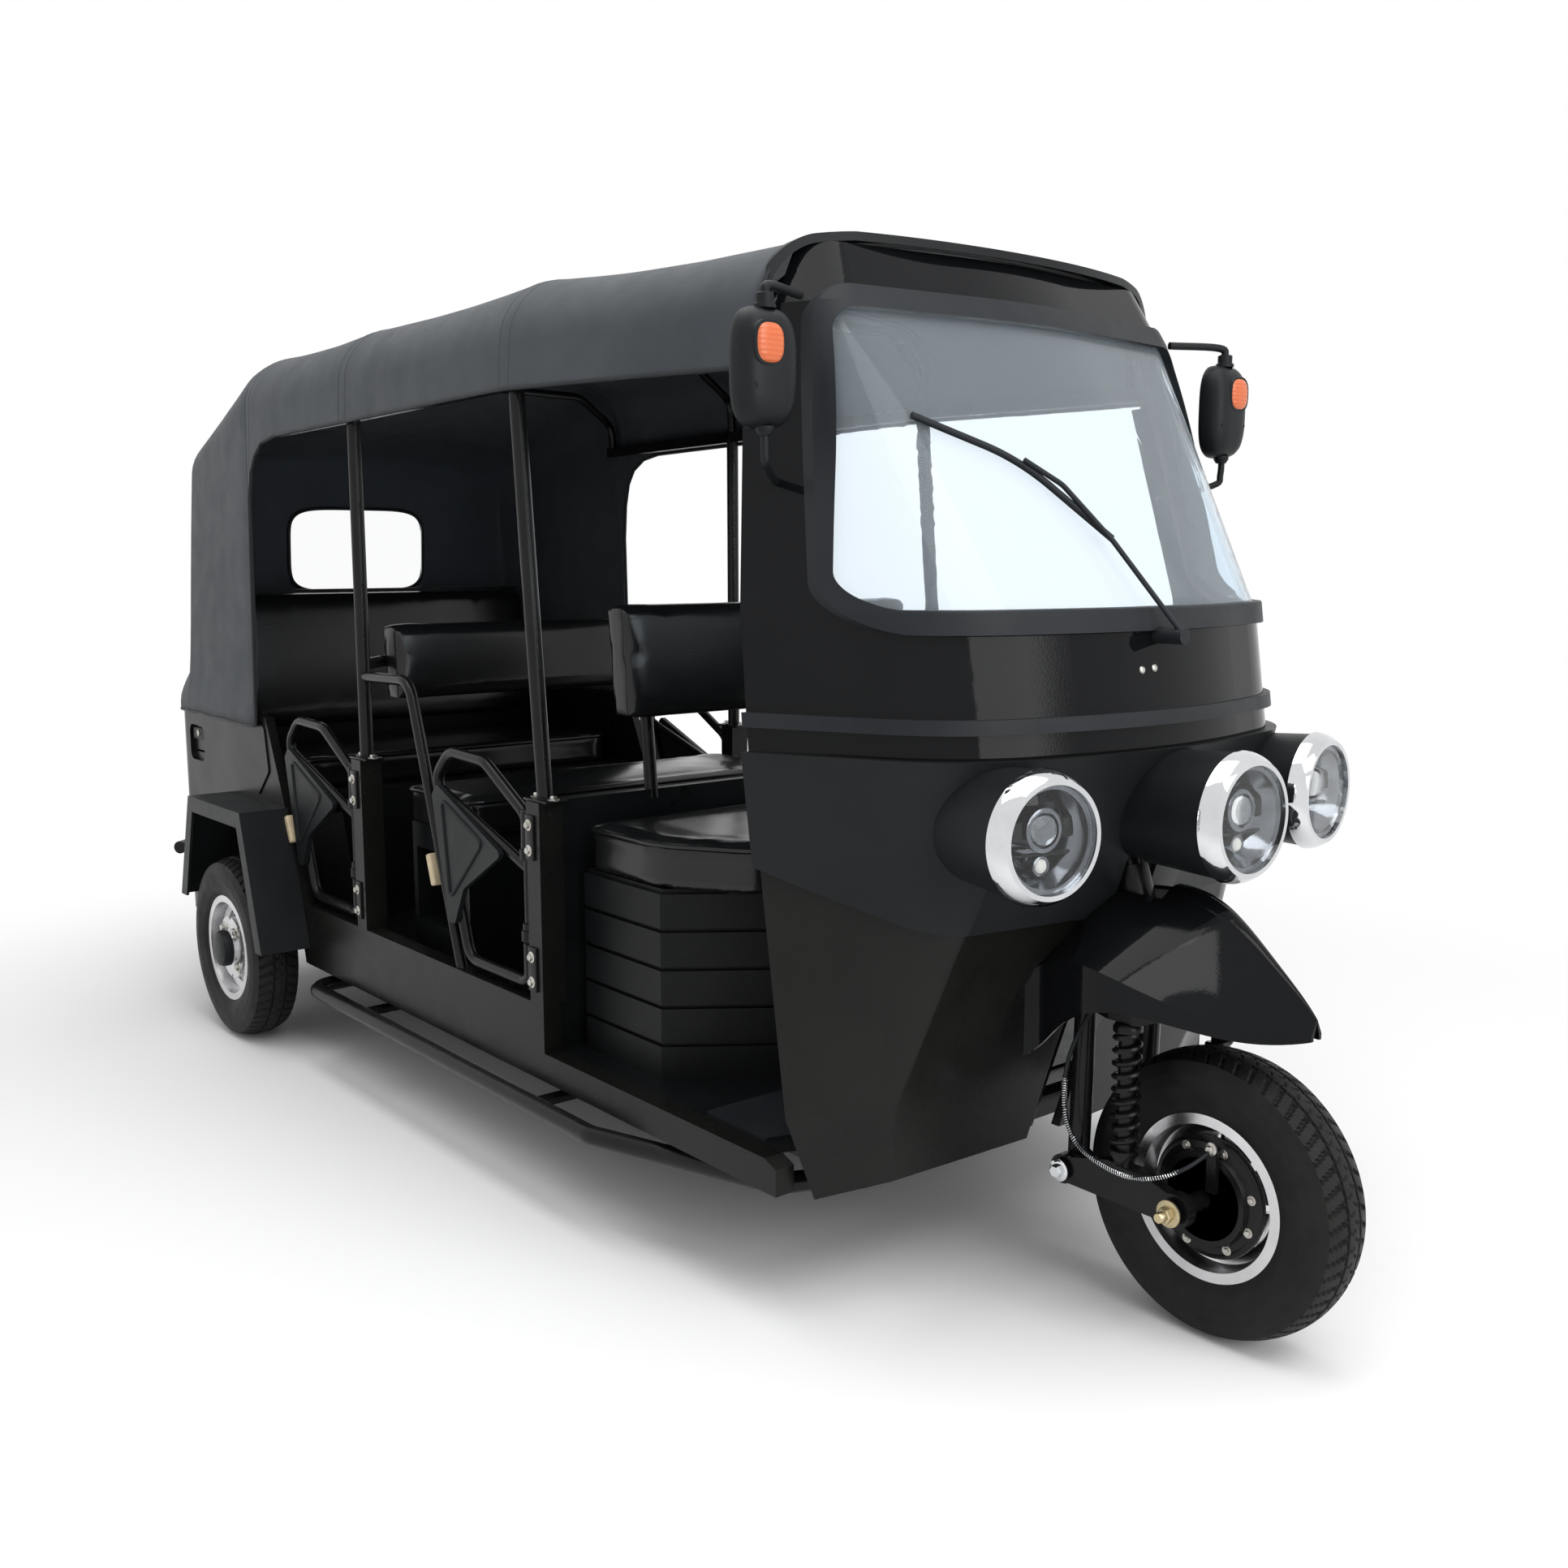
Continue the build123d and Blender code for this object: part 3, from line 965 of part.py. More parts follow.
BENCH_BACK_X = REAR_POST_X + 25
BENCH_FRONT_X = BENCH_BACK_X + 340
BENCH_HALF = BODY_HALF - 90
REAR_SEAT_BACK_X = REAR_X + 250
REAR_SEAT_FRONT_X = QUARTER_X - 5
REAR_SEAT_HALF = BODY_HALF - 70
BENCH_BASE_TOP = BENCH_TOP - BENCH_CUSHION
BOARD = 15
BOARD_BEHIND = 70
BACK_RAISE = 30
REAR_LEAN = 60
REAR_BACK_TOP = 1195
with BuildPart() as seat_bases:
    block(BENCH_BACK_X + 20, BENCH_FRONT_X - 40, -BENCH_HALF + 30, BENCH_HALF - 30, FLOOR_Z, BENCH_BASE_TOP)
    block(BENCH_BACK_X + 40, BENCH_FRONT_X - 60, -BENCH_HALF - 10, BENCH_HALF + 10, FLOOR_Z + 120,
          BENCH_BASE_TOP - 60,
          Mode.SUBTRACT)
    block(SEAT_RISER_X - 20, SEAT_RISER_X, -TUB_INNER + 5, TUB_INNER - 5, FLOOR_Z - FLOOR_THICKNESS,
          BENCH_BASE_TOP)
    board_x = REAR_SEAT_BACK_X - BOARD_BEHIND
    block(board_x - BOARD, SEAT_RISER_X, -FLOOR_HALF + 5, FLOOR_HALF - 5, BENCH_BASE_TOP - 20,
          BENCH_BASE_TOP)
    side_prism([(board_x, BENCH_BASE_TOP - 5), (board_x, BENCH_TOP + BACK_RAISE),
                (board_x - REAR_LEAN, REAR_BACK_TOP),
                (board_x - REAR_LEAN - BOARD, REAR_BACK_TOP), (board_x - BOARD, BENCH_TOP + BACK_RAISE),
                (board_x - BOARD, BENCH_BASE_TOP - 5)], REAR_SEAT_HALF, -REAR_SEAT_HALF)
    add(chassis.part, mode=Mode.SUBTRACT)
save(seat_bases, "seat_bases")

with BuildPart() as cushions:
    with BuildSketch(Plane.XY.offset(DRIVER_SEAT_TOP - DRIVER_CUSHION)) as driver_plan:
        with BuildLine():
            Polyline((SEAT_BACK_X, -SEAT_HALF), (SEAT_FRONT_X - 190, -SEAT_HALF), (SEAT_FRONT_X, -400),
                     (SEAT_FRONT_X, 400), (SEAT_FRONT_X - 190, SEAT_HALF), (SEAT_BACK_X,
                                                                            SEAT_HALF), close=True)
        make_face()
        fillet(driver_plan.vertices(), 40)
    extrude(amount=DRIVER_CUSHION)
    for back_x, front_x, half in ((BENCH_BACK_X, BENCH_FRONT_X, BENCH_HALF),
                                  (REAR_SEAT_BACK_X, REAR_SEAT_FRONT_X, REAR_SEAT_HALF)):
        with BuildSketch(Plane.XY.offset(BENCH_BASE_TOP)):
            with Locations(((back_x + front_x) / 2, 0)):
                RectangleRounded(front_x - back_x, 2 * half, 40)
        extrude(amount=BENCH_CUSHION)
    fillet(cushions.faces().filter_by(Axis.Z).group_by(Axis.Z)[-1].edges(), 22)
save(cushions, "seat_cushions")

# Backrests: foot and head heights, back face at the foot, lean, half width
BACKRESTS = [
    (965, 1210, SEAT_BACK_X - 50, 25, 405),
    (945, 1140, REAR_POST_X - 75, 20, 480),
    (BENCH_TOP + BACK_RAISE, REAR_BACK_TOP, REAR_SEAT_BACK_X - BOARD_BEHIND, REAR_LEAN, 510),
]
BACKREST = 80
with BuildPart() as backrests:
    for foot, head, back_x, lean, half in BACKRESTS:
        side_prism([(back_x, foot), (back_x + BACKREST, foot), (back_x + BACKREST - lean, head),
                    (back_x - lean, head)], half, -half, bend=24)
save(backrests, "seat_backrests")

BACK_TUBE = 28
with BuildPart() as seat_frames:
    foot, head, back_x, lean, half = BACKRESTS[0]
    for sign in (-1, 1):
        tube([(MID_POST_X, sign * 300, WAIST_Z - 20), (back_x - 12, sign * 300, foot),
              (back_x - 12 - lean, sign * 300, head - 30)], 80, BACK_TUBE)
    foot, head, back_x, lean, half = BACKRESTS[1]
    bar_z = (foot + head) / 2
    bar_x = back_x - lean / 2 - BACK_TUBE / 2 + 2
    tube([(REAR_POST_X, -POST_Y, bar_z), (bar_x, -half + 20, bar_z), (bar_x, half - 20, bar_z),
          (REAR_POST_X, POST_Y, bar_z)], 40, BACK_TUBE)
    add(backrests.part, mode=Mode.SUBTRACT)
    add(posts.part, mode=Mode.SUBTRACT)
    add(bulkhead.part, mode=Mode.SUBTRACT)
save(seat_frames, "seat_frames")

# Half doors: a tube loop that turns on its front leg, with a moulded panel
DOOR_FOOT_Z = 428
DOOR_WIDTH = 392
PANEL_MOULD = 12
DOORS = [("mid", MID_POST_X), ("rear", REAR_POST_X)]
door_loop = [(0, 600), (0, 775), (175, 872), (DOOR_WIDTH - 62, 878), (DOOR_WIDTH, 820), (262, DOOR_FOOT_Z),
             (0, DOOR_FOOT_Z)]
DOOR_BENDS = [0, 55, 80, 60, 40, 50, 40]
mould_points = [(70, 690), (350, 806), (374, 780), (312, 505), (284, 505), (240, 590)]
for row, post_x in DOORS:
    hinge_x = post_x - POST_WIDTH / 2 - HINGE_BEHIND_POST
    for side, sign in (("right", -1), ("left", 1)):
        y = sign * DOOR_Y
        with BuildPart() as door:
            tube([(hinge_x - u, y, z) for u, z in door_loop], DOOR_BENDS, DOOR_TUBE, close=True)
            tube([(hinge_x, y, 668), (hinge_x - DOOR_WIDTH + 20, y, 790)], 0, DOOR_TUBE - 3)
            for z in HINGE_HEIGHTS:
                round_bar((hinge_x, y, z + HINGE_HEIGHT + 0.5), (0, 0, 1), HINGE_R - 3, 14)
        save(door, f"{row}_{side}_door_frame")
        with BuildPart() as mould:
            outer = sign * (DOOR_Y + DOOR_TUBE / 2 + GAP)
            side_prism([(hinge_x - u, z) for u, z in mould_points], max(outer, outer + sign * PANEL_MOULD),
                       min(outer, outer + sign * PANEL_MOULD), bend=10)
        save(mould, f"{row}_{side}_door_panel")

LATCH_TOP_Z = 1020
with BuildPart() as latch_bars:
    tube([(REAR_POST_X + POST_TUBE / 2 - 6, -POST_Y, LATCH_TOP_Z - 6),
          (REAR_POST_X + 265, -DOOR_Y, LATCH_TOP_Z),
          (REAR_POST_X + 480, -DOOR_Y, THRESHOLD_Z - 20)], 60, DOOR_TUBE)
    mirror(about=Plane.XZ)
    add(posts.part, mode=Mode.SUBTRACT)
    block(REAR_POST_X, MID_POST_X, -WIDE, WIDE, 300, THRESHOLD_Z, Mode.SUBTRACT)
save(latch_bars, "latch_bars")

# Outside fittings
STEP_TUBE = 38
STEP_Z = 208
STEP_Y = BODY_HALF + 42
with BuildPart() as steps:
    tube([(QUARTER_FOOT_X + 95, -RAIL_Y - 26, STEP_Z), (QUARTER_FOOT_X + 110, -STEP_Y, STEP_Z),
          (MID_POST_X + 260, -STEP_Y, STEP_Z), (PILLAR_X - 30, -500, STEP_Z), (PILLAR_X + 10, -RAIL_Y - 26,
                                                                               STEP_Z)],
         60, STEP_TUBE)
    for x in (REAR_POST_X + 60, MID_POST_X + 40):
        block(x - 18, x + 18, -STEP_Y, -RAIL_Y - 26, STEP_Z - 6, STEP_Z + 6)
    mirror(about=Plane.XZ)
    add(chassis.part, mode=Mode.SUBTRACT)
save(steps, "side_steps")

MIRROR_X = PILLAR_X + 37
MIRROR_Y = 600
MIRROR_Z = 1590
MIRROR_HEIGHT = 185
MIRROR_WIDTH = 112
MIRROR_DEPTH = 46
MIRROR_STAY = 58
with BuildPart() as mirrors:
    with BuildSketch(Plane.YZ.offset(MIRROR_X)):
        with Locations((-MIRROR_Y, MIRROR_Z)):
            RectangleRounded(MIRROR_WIDTH, MIRROR_HEIGHT, 40)
    extrude(amount=MIRROR_DEPTH, taper=18)
    tube([(MIRROR_X + 20, -MIRROR_Y, MIRROR_Z + 60),
          (MIRROR_X + 20, -MIRROR_Y, MIRROR_Z + MIRROR_HEIGHT / 2 + 34),
          (PILLAR_X - 20, -430, MIRROR_Z + MIRROR_HEIGHT / 2 + 34)], 18, 15)
    stay_z = MIRROR_Z - MIRROR_HEIGHT / 2 - MIRROR_STAY
    tube([(MIRROR_X + 20, -MIRROR_Y, MIRROR_Z), (MIRROR_X + 20, -MIRROR_Y, stay_z),
          (MIRROR_X - 64, -MIRROR_Y + 97, stay_z - 25)], 24, 13)
    with BuildSketch(Plane.YZ.offset(MIRROR_X)):
        with Locations((-MIRROR_Y, MIRROR_Z)):
            RectangleRounded(MIRROR_WIDTH - 10, MIRROR_HEIGHT - 10, 36)
    extrude(amount=5, mode=Mode.SUBTRACT)
    cab_solid(UPPER_PLANS, GAP, Mode.SUBTRACT)
    add(roof_cap.part, mode=Mode.SUBTRACT)
    block(PILLAR_X - 300, PILLAR_X + 300, -MIRROR_Y + 160, WIDE, 1500, 2000, Mode.SUBTRACT)
    mirror(about=Plane.XZ)
save(mirrors, "mirrors")

with BuildPart() as mirror_glasses:
    with BuildSketch(Plane.YZ.offset(MIRROR_X + 2)):
        with Locations((-MIRROR_Y, MIRROR_Z), (MIRROR_Y, MIRROR_Z)):
            RectangleRounded(MIRROR_WIDTH - 10 - GAP, MIRROR_HEIGHT - 10 - GAP, 36)
    extrude(amount=3)
save(mirror_glasses, "mirror_glasses")

with BuildPart() as indicators:
    with BuildSketch(Plane.YZ.offset(MIRROR_X + MIRROR_DEPTH)):
        with Locations((-MIRROR_Y, MIRROR_Z + 32), (MIRROR_Y, MIRROR_Z + 32)):
            Ellipse(26, 15)
    extrude(amount=8)
save(indicators, "indicators")

# places on the glass, across and up: pivot, elbow, joint on the blade
WIPER_PIVOT = (-22, 1172)
WIPER_JOINT = (-192, 1458)
WIPER_ARM = [WIPER_PIVOT, (-80, 1326), (-134, 1418), WIPER_JOINT]
WIPER_BLADE = [(-70, 1330), WIPER_JOINT, (-373, 1525)]
WIPER_LIFT = 16
BLADE_LIFT = 6


def screen_x(y, z):
    low, high = UPPER_PLANS[1], UPPER_PLANS[2]
    share = (z - low[0]) / (high[0] - low[0])
    nose, corner, half = [low[i] + share * (high[i] - low[i]) for i in (1, 2, 3)]
    return PILLAR_X + nose - (nose - corner) * abs(y) / half


with BuildPart() as wiper:
    round_bar((screen_x(*WIPER_PIVOT) - 60, *WIPER_PIVOT), (1, 0, 0), 14, 78)
    tube([(screen_x(y, z) + WIPER_LIFT, y, z) for y, z in WIPER_ARM], 40, 9)
    tube([(screen_x(y, z) + BLADE_LIFT, y, z) for y, z in WIPER_BLADE], 300, 12)
    cab_solid(UPPER_PLANS, 0.3, Mode.SUBTRACT)
    add(seal.part, mode=Mode.SUBTRACT)
save(wiper, "wiper")

with BuildPart() as dash:
    block(PILLAR_X + 170, PILLAR_X + 500, -600, 600, 860, 940)
    cab_solid(LOWER_PLANS, -CAB_WALL - GAP, Mode.INTERSECT)
    block(PILLAR_X + 170, PILLAR_X + 500, -45, 45, 800, 990, Mode.SUBTRACT)
save(dash, "dashboard")

TAIL_Z = 700
BUMPER_Z = 420
with BuildPart() as tail_lamps:
    for sign in (-1, 1):
        block(REAR_X - 0, REAR_X - 14, sign * 420 - 45, sign * 420 + 45, TAIL_Z - 60, TAIL_Z + 60)
save(tail_lamps, "tail_lamps")

with BuildPart() as bumper:
    bar_x = REAR_X - BUMPER_REACH + STEP_TUBE / 2
    tube([(REAR_X + 30, -BODY_HALF - 22, BUMPER_Z), (bar_x, -BODY_HALF + 40, BUMPER_Z),
          (bar_x, BODY_HALF - 40, BUMPER_Z), (REAR_X + 30, BODY_HALF + 22, BUMPER_Z)], 40, STEP_TUBE)
    for sign in (-1, 1):
        block(bar_x, REAR_X, sign * 340 - 20, sign * 340 + 20, BUMPER_Z - 10, BUMPER_Z + 10)
    add(rear_body.part, mode=Mode.SUBTRACT)
save(bumper, "rear_bumper")
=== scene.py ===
import math

import bmesh
import bpy
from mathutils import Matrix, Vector, noise
from mathutils.bvhtree import BVHTree


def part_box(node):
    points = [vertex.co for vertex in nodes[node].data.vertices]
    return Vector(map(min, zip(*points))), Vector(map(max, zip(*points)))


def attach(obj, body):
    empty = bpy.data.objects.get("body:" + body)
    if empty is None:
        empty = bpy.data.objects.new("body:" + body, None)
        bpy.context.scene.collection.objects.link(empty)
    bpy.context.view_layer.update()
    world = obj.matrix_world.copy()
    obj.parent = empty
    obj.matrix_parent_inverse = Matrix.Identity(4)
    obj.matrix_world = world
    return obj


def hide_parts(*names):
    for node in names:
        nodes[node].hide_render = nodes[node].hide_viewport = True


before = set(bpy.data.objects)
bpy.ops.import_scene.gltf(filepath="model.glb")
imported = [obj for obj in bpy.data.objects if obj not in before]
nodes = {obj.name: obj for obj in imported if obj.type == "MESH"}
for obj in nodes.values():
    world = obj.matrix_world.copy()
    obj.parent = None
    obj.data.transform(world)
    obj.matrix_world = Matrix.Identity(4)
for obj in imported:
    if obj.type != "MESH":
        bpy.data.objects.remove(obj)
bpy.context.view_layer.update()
print("frame:", len(nodes), "nodes")


def nodeMiddle(name):
    low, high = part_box(name)
    return (Vector(low) + Vector(high)) / 2


# places along the tricycle, in metres
frontHub = nodeMiddle("front_tyre")
rearHub = nodeMiddle("rear_left_tyre")
tyreRadius = frontHub.z
place = {"pillar": frontHub.x - 0.535, "midPost": frontHub.x - 1.23, "rearPost": frontHub.x - 2.055,
         "rearEnd": rearHub.x - 0.645, "bodySide": 0.59, "doorLine": 0.572, "postLine": 0.56}


# finishes
def startFinish(name):
    finish = bpy.data.materials.new(name)
    finish.use_nodes = True
    tree = finish.node_tree
    return finish, tree, tree.nodes["Principled BSDF"]


def addNode(tree, kind, **settings):
    node = tree.nodes.new(kind)
    for key, value in settings.items():
        if key in node.inputs:
            node.inputs[key].default_value = value
        else:
            setattr(node, key, value)
    return node


def objectSpace(tree):
    return addNode(tree, "ShaderNodeTexCoord").outputs["Object"]


def mottle(tree, where, scale, detail, low, high):
    cloud = addNode(tree, "ShaderNodeTexNoise", Scale=scale, Detail=detail, Roughness=0.6)
    tree.links.new(where, cloud.inputs["Vector"])
    spread = addNode(tree, "ShaderNodeMapRange")
    spread.inputs["From Min"].default_value = 0.3
    spread.inputs["From Max"].default_value = 0.7
    spread.inputs["To Min"].default_value = low
    spread.inputs["To Max"].default_value = high
    tree.links.new(cloud.outputs["Fac"], spread.inputs["Value"])
    return spread.outputs["Result"]


def tint(tree, factor, first, second):
    mixed = addNode(tree, "ShaderNodeMix", data_type="RGBA")
    mixed.inputs[6].default_value = (*first, 1)
    mixed.inputs[7].default_value = (*second, 1)
    tree.links.new(factor, mixed.inputs[0])
    return mixed.outputs[2]


def emboss(tree, shader, height, depth, strength):
    bump = addNode(tree, "ShaderNodeBump", Strength=strength, Distance=depth)
    tree.links.new(height, bump.inputs["Height"])
    tree.links.new(bump.outputs["Normal"], shader.inputs["Normal"])


def paintedFinish(name, look):
    finish, tree, shader = startFinish(name)
    where = objectSpace(tree)
    patches = mottle(tree, where, look["patchScale"], 4, 0, 1)
    tree.links.new(tint(tree, patches, look["colour"], look["dust"]), shader.inputs["Base Color"])
    tree.links.new(mottle(tree, where, look["smearScale"], 5, *look["rough"]), shader.inputs["Roughness"])
    shader.inputs["IOR"].default_value = look.get("ior", 1.45)
    shader.inputs["Metallic"].default_value = look.get("metal", 0)
    emboss(tree, shader, mottle(tree, where, look["grainScale"], 2, 0, 1), look["grain"], 0.4)
    return finish


finishes = {
    "cabGloss": paintedFinish("cabGloss", {
        "colour": (0.0034, 0.0038, 0.0046), "dust": (0.0052, 0.0056, 0.0064), "patchScale": 3.0, "smearScale": 6.0,
        "rough": (0.035, 0.08), "ior": 1.24, "grainScale": 240, "grain": 0.00005}),
    "panelPaint": paintedFinish("panelPaint", {
        "colour": (0.0052, 0.0053, 0.005), "dust": (0.0095, 0.0092, 0.0084), "patchScale": 3.2, "smearScale": 7.0,
        "rough": (0.22, 0.34), "ior": 1.27, "grainScale": 260, "grain": 0.00015}),
    "framePaint": paintedFinish("framePaint", {
        "colour": (0.0042, 0.0044, 0.0047), "dust": (0.008, 0.008, 0.008), "patchScale": 9.0, "smearScale": 14.0,
        "rough": (0.16, 0.3), "ior": 1.3, "grainScale": 500, "grain": 0.0002}),
    "moulded": paintedFinish("moulded", {
        "colour": (0.008, 0.0094, 0.0105), "dust": (0.0125, 0.0138, 0.0148), "patchScale": 5.0, "smearScale": 9.0,
        "rough": (0.32, 0.44), "ior": 1.25, "grainScale": 900, "grain": 0.00025}),
    "rubberTrim": paintedFinish("rubberTrim", {
        "colour": (0.0115, 0.0138, 0.0168), "dust": (0.0175, 0.0198, 0.0226), "patchScale": 7.0, "smearScale": 12.0,
        "rough": (0.38, 0.5), "ior": 1.27, "grainScale": 700, "grain": 0.0002}),
    "tyreRubber": paintedFinish("tyreRubber", {
        "colour": (0.0052, 0.0054, 0.0054), "dust": (0.0125, 0.012, 0.0114), "patchScale": 18.0, "smearScale": 22.0,
        "rough": (0.46, 0.64), "ior": 1.28, "grainScale": 900, "grain": 0.0004}),
    "rimSilver": paintedFinish("rimSilver", {
        "colour": (0.7, 0.7, 0.71), "dust": (0.56, 0.56, 0.57), "patchScale": 11.0, "smearScale": 16.0,
        "rough": (0.16, 0.28), "metal": 1, "grainScale": 600, "grain": 0.0001}),
    "chrome": paintedFinish("chrome", {
        "colour": (0.72, 0.735, 0.75), "dust": (0.62, 0.635, 0.65), "patchScale": 14.0, "smearScale": 18.0,
        "rough": (0.03, 0.07), "metal": 1, "grainScale": 300, "grain": 0.00004}),
    "reflector": paintedFinish("reflector", {
        "colour": (0.2, 0.215, 0.235), "dust": (0.13, 0.14, 0.155), "patchScale": 26.0, "smearScale": 30.0,
        "rough": (0.07, 0.16), "metal": 1, "grainScale": 300, "grain": 0.00006}),
    "boxBlack": paintedFinish("boxBlack", {
        "colour": (0.0042, 0.0049, 0.0055), "dust": (0.0074, 0.0081, 0.0087), "patchScale": 6.0, "smearScale": 10.0,
        "rough": (0.26, 0.4), "ior": 1.24, "grainScale": 900, "grain": 0.0003}),
    "zinc": paintedFinish("zinc", {
        "colour": (0.6, 0.59, 0.56), "dust": (0.42, 0.4, 0.36), "patchScale": 60.0, "smearScale": 80.0,
        "rough": (0.24, 0.4), "metal": 1, "grainScale": 900, "grain": 0.0001}),
    "brass": paintedFinish("brass", {
        "colour": (0.62, 0.52, 0.3), "dust": (0.42, 0.36, 0.24), "patchScale": 60.0, "smearScale": 80.0,
        "rough": (0.28, 0.42), "metal": 1, "grainScale": 900, "grain": 0.0001}),
    "latchCream": paintedFinish("latchCream", {
        "colour": (0.66, 0.55, 0.36), "dust": (0.5, 0.41, 0.27), "patchScale": 40.0, "smearScale": 50.0,
        "rough": (0.42, 0.56), "grainScale": 900, "grain": 0.0002}),
    "ledWhite": paintedFinish("ledWhite", {
        "colour": (0.8, 0.79, 0.74), "dust": (0.66, 0.65, 0.6), "patchScale": 90.0, "smearScale": 60.0,
        "rough": (0.2, 0.35), "grainScale": 900, "grain": 0.0002}),
}


def clearFinish(name, look):
    finish, tree, shader = startFinish(name)
    where = objectSpace(tree)
    shader.inputs["Base Color"].default_value = (*look["colour"], 1)
    shader.inputs["Transmission Weight"].default_value = look["through"]
    shader.inputs["IOR"].default_value = look["ior"]
    tree.links.new(mottle(tree, where, look["smearScale"], 4, *look["rough"]), shader.inputs["Roughness"])
    if look.get("ribs"):
        ribs = addNode(tree, "ShaderNodeTexWave", Scale=look["ribs"], bands_direction="Z")
        tree.links.new(where, ribs.inputs["Vector"])
        emboss(tree, shader, ribs.outputs["Fac"], look["ribDepth"], 0.6)
    return finish


finishes["screenGlass"] = clearFinish("screenGlass", {
    "colour": (0.84, 0.925, 0.99), "through": 0.915, "ior": 1.16, "smearScale": 5, "rough": (0.0, 0.015)})
finishes["lampGlass"] = clearFinish("lampGlass", {
    "colour": (0.97, 0.98, 0.985), "through": 1.0, "ior": 1.3, "smearScale": 12, "rough": (0.0, 0.02)})
finishes["clearVinyl"] = clearFinish("clearVinyl", {
    "colour": (0.96, 0.965, 0.965), "through": 1.0, "ior": 1.1, "smearScale": 9, "rough": (0.02, 0.08)})
finishes["amber"] = clearFinish("amber", {
    "colour": (0.74, 0.17, 0.06), "through": 0.2, "ior": 1.45, "smearScale": 30, "rough": (0.16, 0.26),
    "ribs": 40, "ribDepth": 0.001})
finishes["redLens"] = clearFinish("redLens", {
    "colour": (0.42, 0.012, 0.012), "through": 0.2, "ior": 1.45, "smearScale": 30, "rough": (0.12, 0.2),
    "ribs": 60, "ribDepth": 0.0012})


def canvasFinish(name, look):
    finish, tree, shader = startFinish(name)
    where = objectSpace(tree)
    patches = mottle(tree, where, look["patchScale"], 5, 0, 1)
    tree.links.new(tint(tree, patches, look["colour"], look["faded"]), shader.inputs["Base Color"])
    tree.links.new(mottle(tree, where, 14, 4, *look["rough"]), shader.inputs["Roughness"])
    shader.inputs["IOR"].default_value = 1.26
    warp = addNode(tree, "ShaderNodeTexWave", Scale=look["threads"], bands_direction="X", Distortion=0.6)
    weft = addNode(tree, "ShaderNodeTexWave", Scale=look["threads"], bands_direction="DIAGONAL", Distortion=0.6)
    tree.links.new(where, warp.inputs["Vector"])
    tree.links.new(where, weft.inputs["Vector"])
    both = addNode(tree, "ShaderNodeMath", operation="ADD")
    tree.links.new(warp.outputs["Fac"], both.inputs[0])
    tree.links.new(weft.outputs["Fac"], both.inputs[1])
    emboss(tree, shader, both.outputs["Value"], look["weave"], 0.5)
    shader.inputs["Sheen Weight"].default_value = look["sheen"]
    shader.inputs["Sheen Roughness"].default_value = 0.5
    return finish


finishes["canvas"] = canvasFinish("canvas", {
    "colour": (0.033, 0.0395, 0.047), "faded": (0.048, 0.0562, 0.0655), "patchScale": 2.4, "rough": (0.42, 0.56),
    "threads": 420, "weave": 0.0003, "sheen": 0.08})


def vinylFinish(name, look):
    finish, tree, shader = startFinish(name)
    where = objectSpace(tree)
    patches = mottle(tree, where, look["patchScale"], 4, 0, 1)
    tree.links.new(tint(tree, patches, look["colour"], look["rubbed"]), shader.inputs["Base Color"])
    tree.links.new(mottle(tree, where, 11, 4, *look["rough"]), shader.inputs["Roughness"])
    shader.inputs["IOR"].default_value = 1.42
    pebble = addNode(tree, "ShaderNodeTexVoronoi", Scale=look["pebbles"])
    tree.links.new(where, pebble.inputs["Vector"])
    emboss(tree, shader, pebble.outputs["Distance"], look["pebbleDepth"], 0.5)
    return finish


finishes["seatVinyl"] = vinylFinish("seatVinyl", {
    "colour": (0.0062, 0.0066, 0.0071), "rubbed": (0.0076, 0.008, 0.0085), "patchScale": 5, "rough": (0.17, 0.23),
    "pebbles": 420, "pebbleDepth": 0.00016})


# finish of each carried-over piece
nodeFinish = {
    "cabGloss": ["windscreen_surround", "front_mudguard"],
    "panelPaint": ["front_apron", "quarter_panels", "rear_panel", "side_sills"],
    "boxBlack": ["bulkhead", "floor_pan", "seat_bases", "driver_seat_box", "dashboard"],
    "reflector": ["lamp_bowls"],
    "framePaint": ["chassis_frame", "roof_frame", "roof_posts", "seat_frames", "latch_bars", "side_steps",
                   "rear_bumper", "steering_fork", "front_links", "front_shocks", "handlebar", "rear_axle",
                   "leaf_springs", "mid_right_door_frame", "mid_left_door_frame", "rear_right_door_frame",
                   "rear_left_door_frame"],
    "moulded": ["lamp_cowl", "roof_cap", "wheel_flares", "mirrors", "mid_right_door_panel", "mid_left_door_panel",
                "rear_right_door_panel", "rear_left_door_panel"],
    "rubberTrim": ["windscreen_seal", "belt_strip", "floor_mat", "wiper", "brake_cable"],
    "tyreRubber": ["front_tyre", "rear_right_tyre", "rear_left_tyre"],
    "rimSilver": ["front_rim", "rear_right_rim", "rear_left_rim"],
    "chrome": ["lamp_bezels", "mirror_glasses"],
    "screenGlass": ["windscreen_glass"],
    "lampGlass": ["lamp_lenses"],
    "clearVinyl": ["rear_window"],
    "amber": ["indicators"],
    "redLens": ["tail_lamps"],
    "canvas": ["canopy_roof", "canopy_rear"],
    "seatVinyl": ["seat_cushions", "seat_backrests"],
}
for finishName, names in nodeFinish.items():
    for name in names:
        mesh = nodes[name].data
        mesh.materials.clear()
        mesh.materials.append(finishes[finishName])
print("finishes:", len(finishes))


# shared makers: a bag gathers points and faces until it becomes one piece
def newBag():
    return {"points": [], "faces": []}


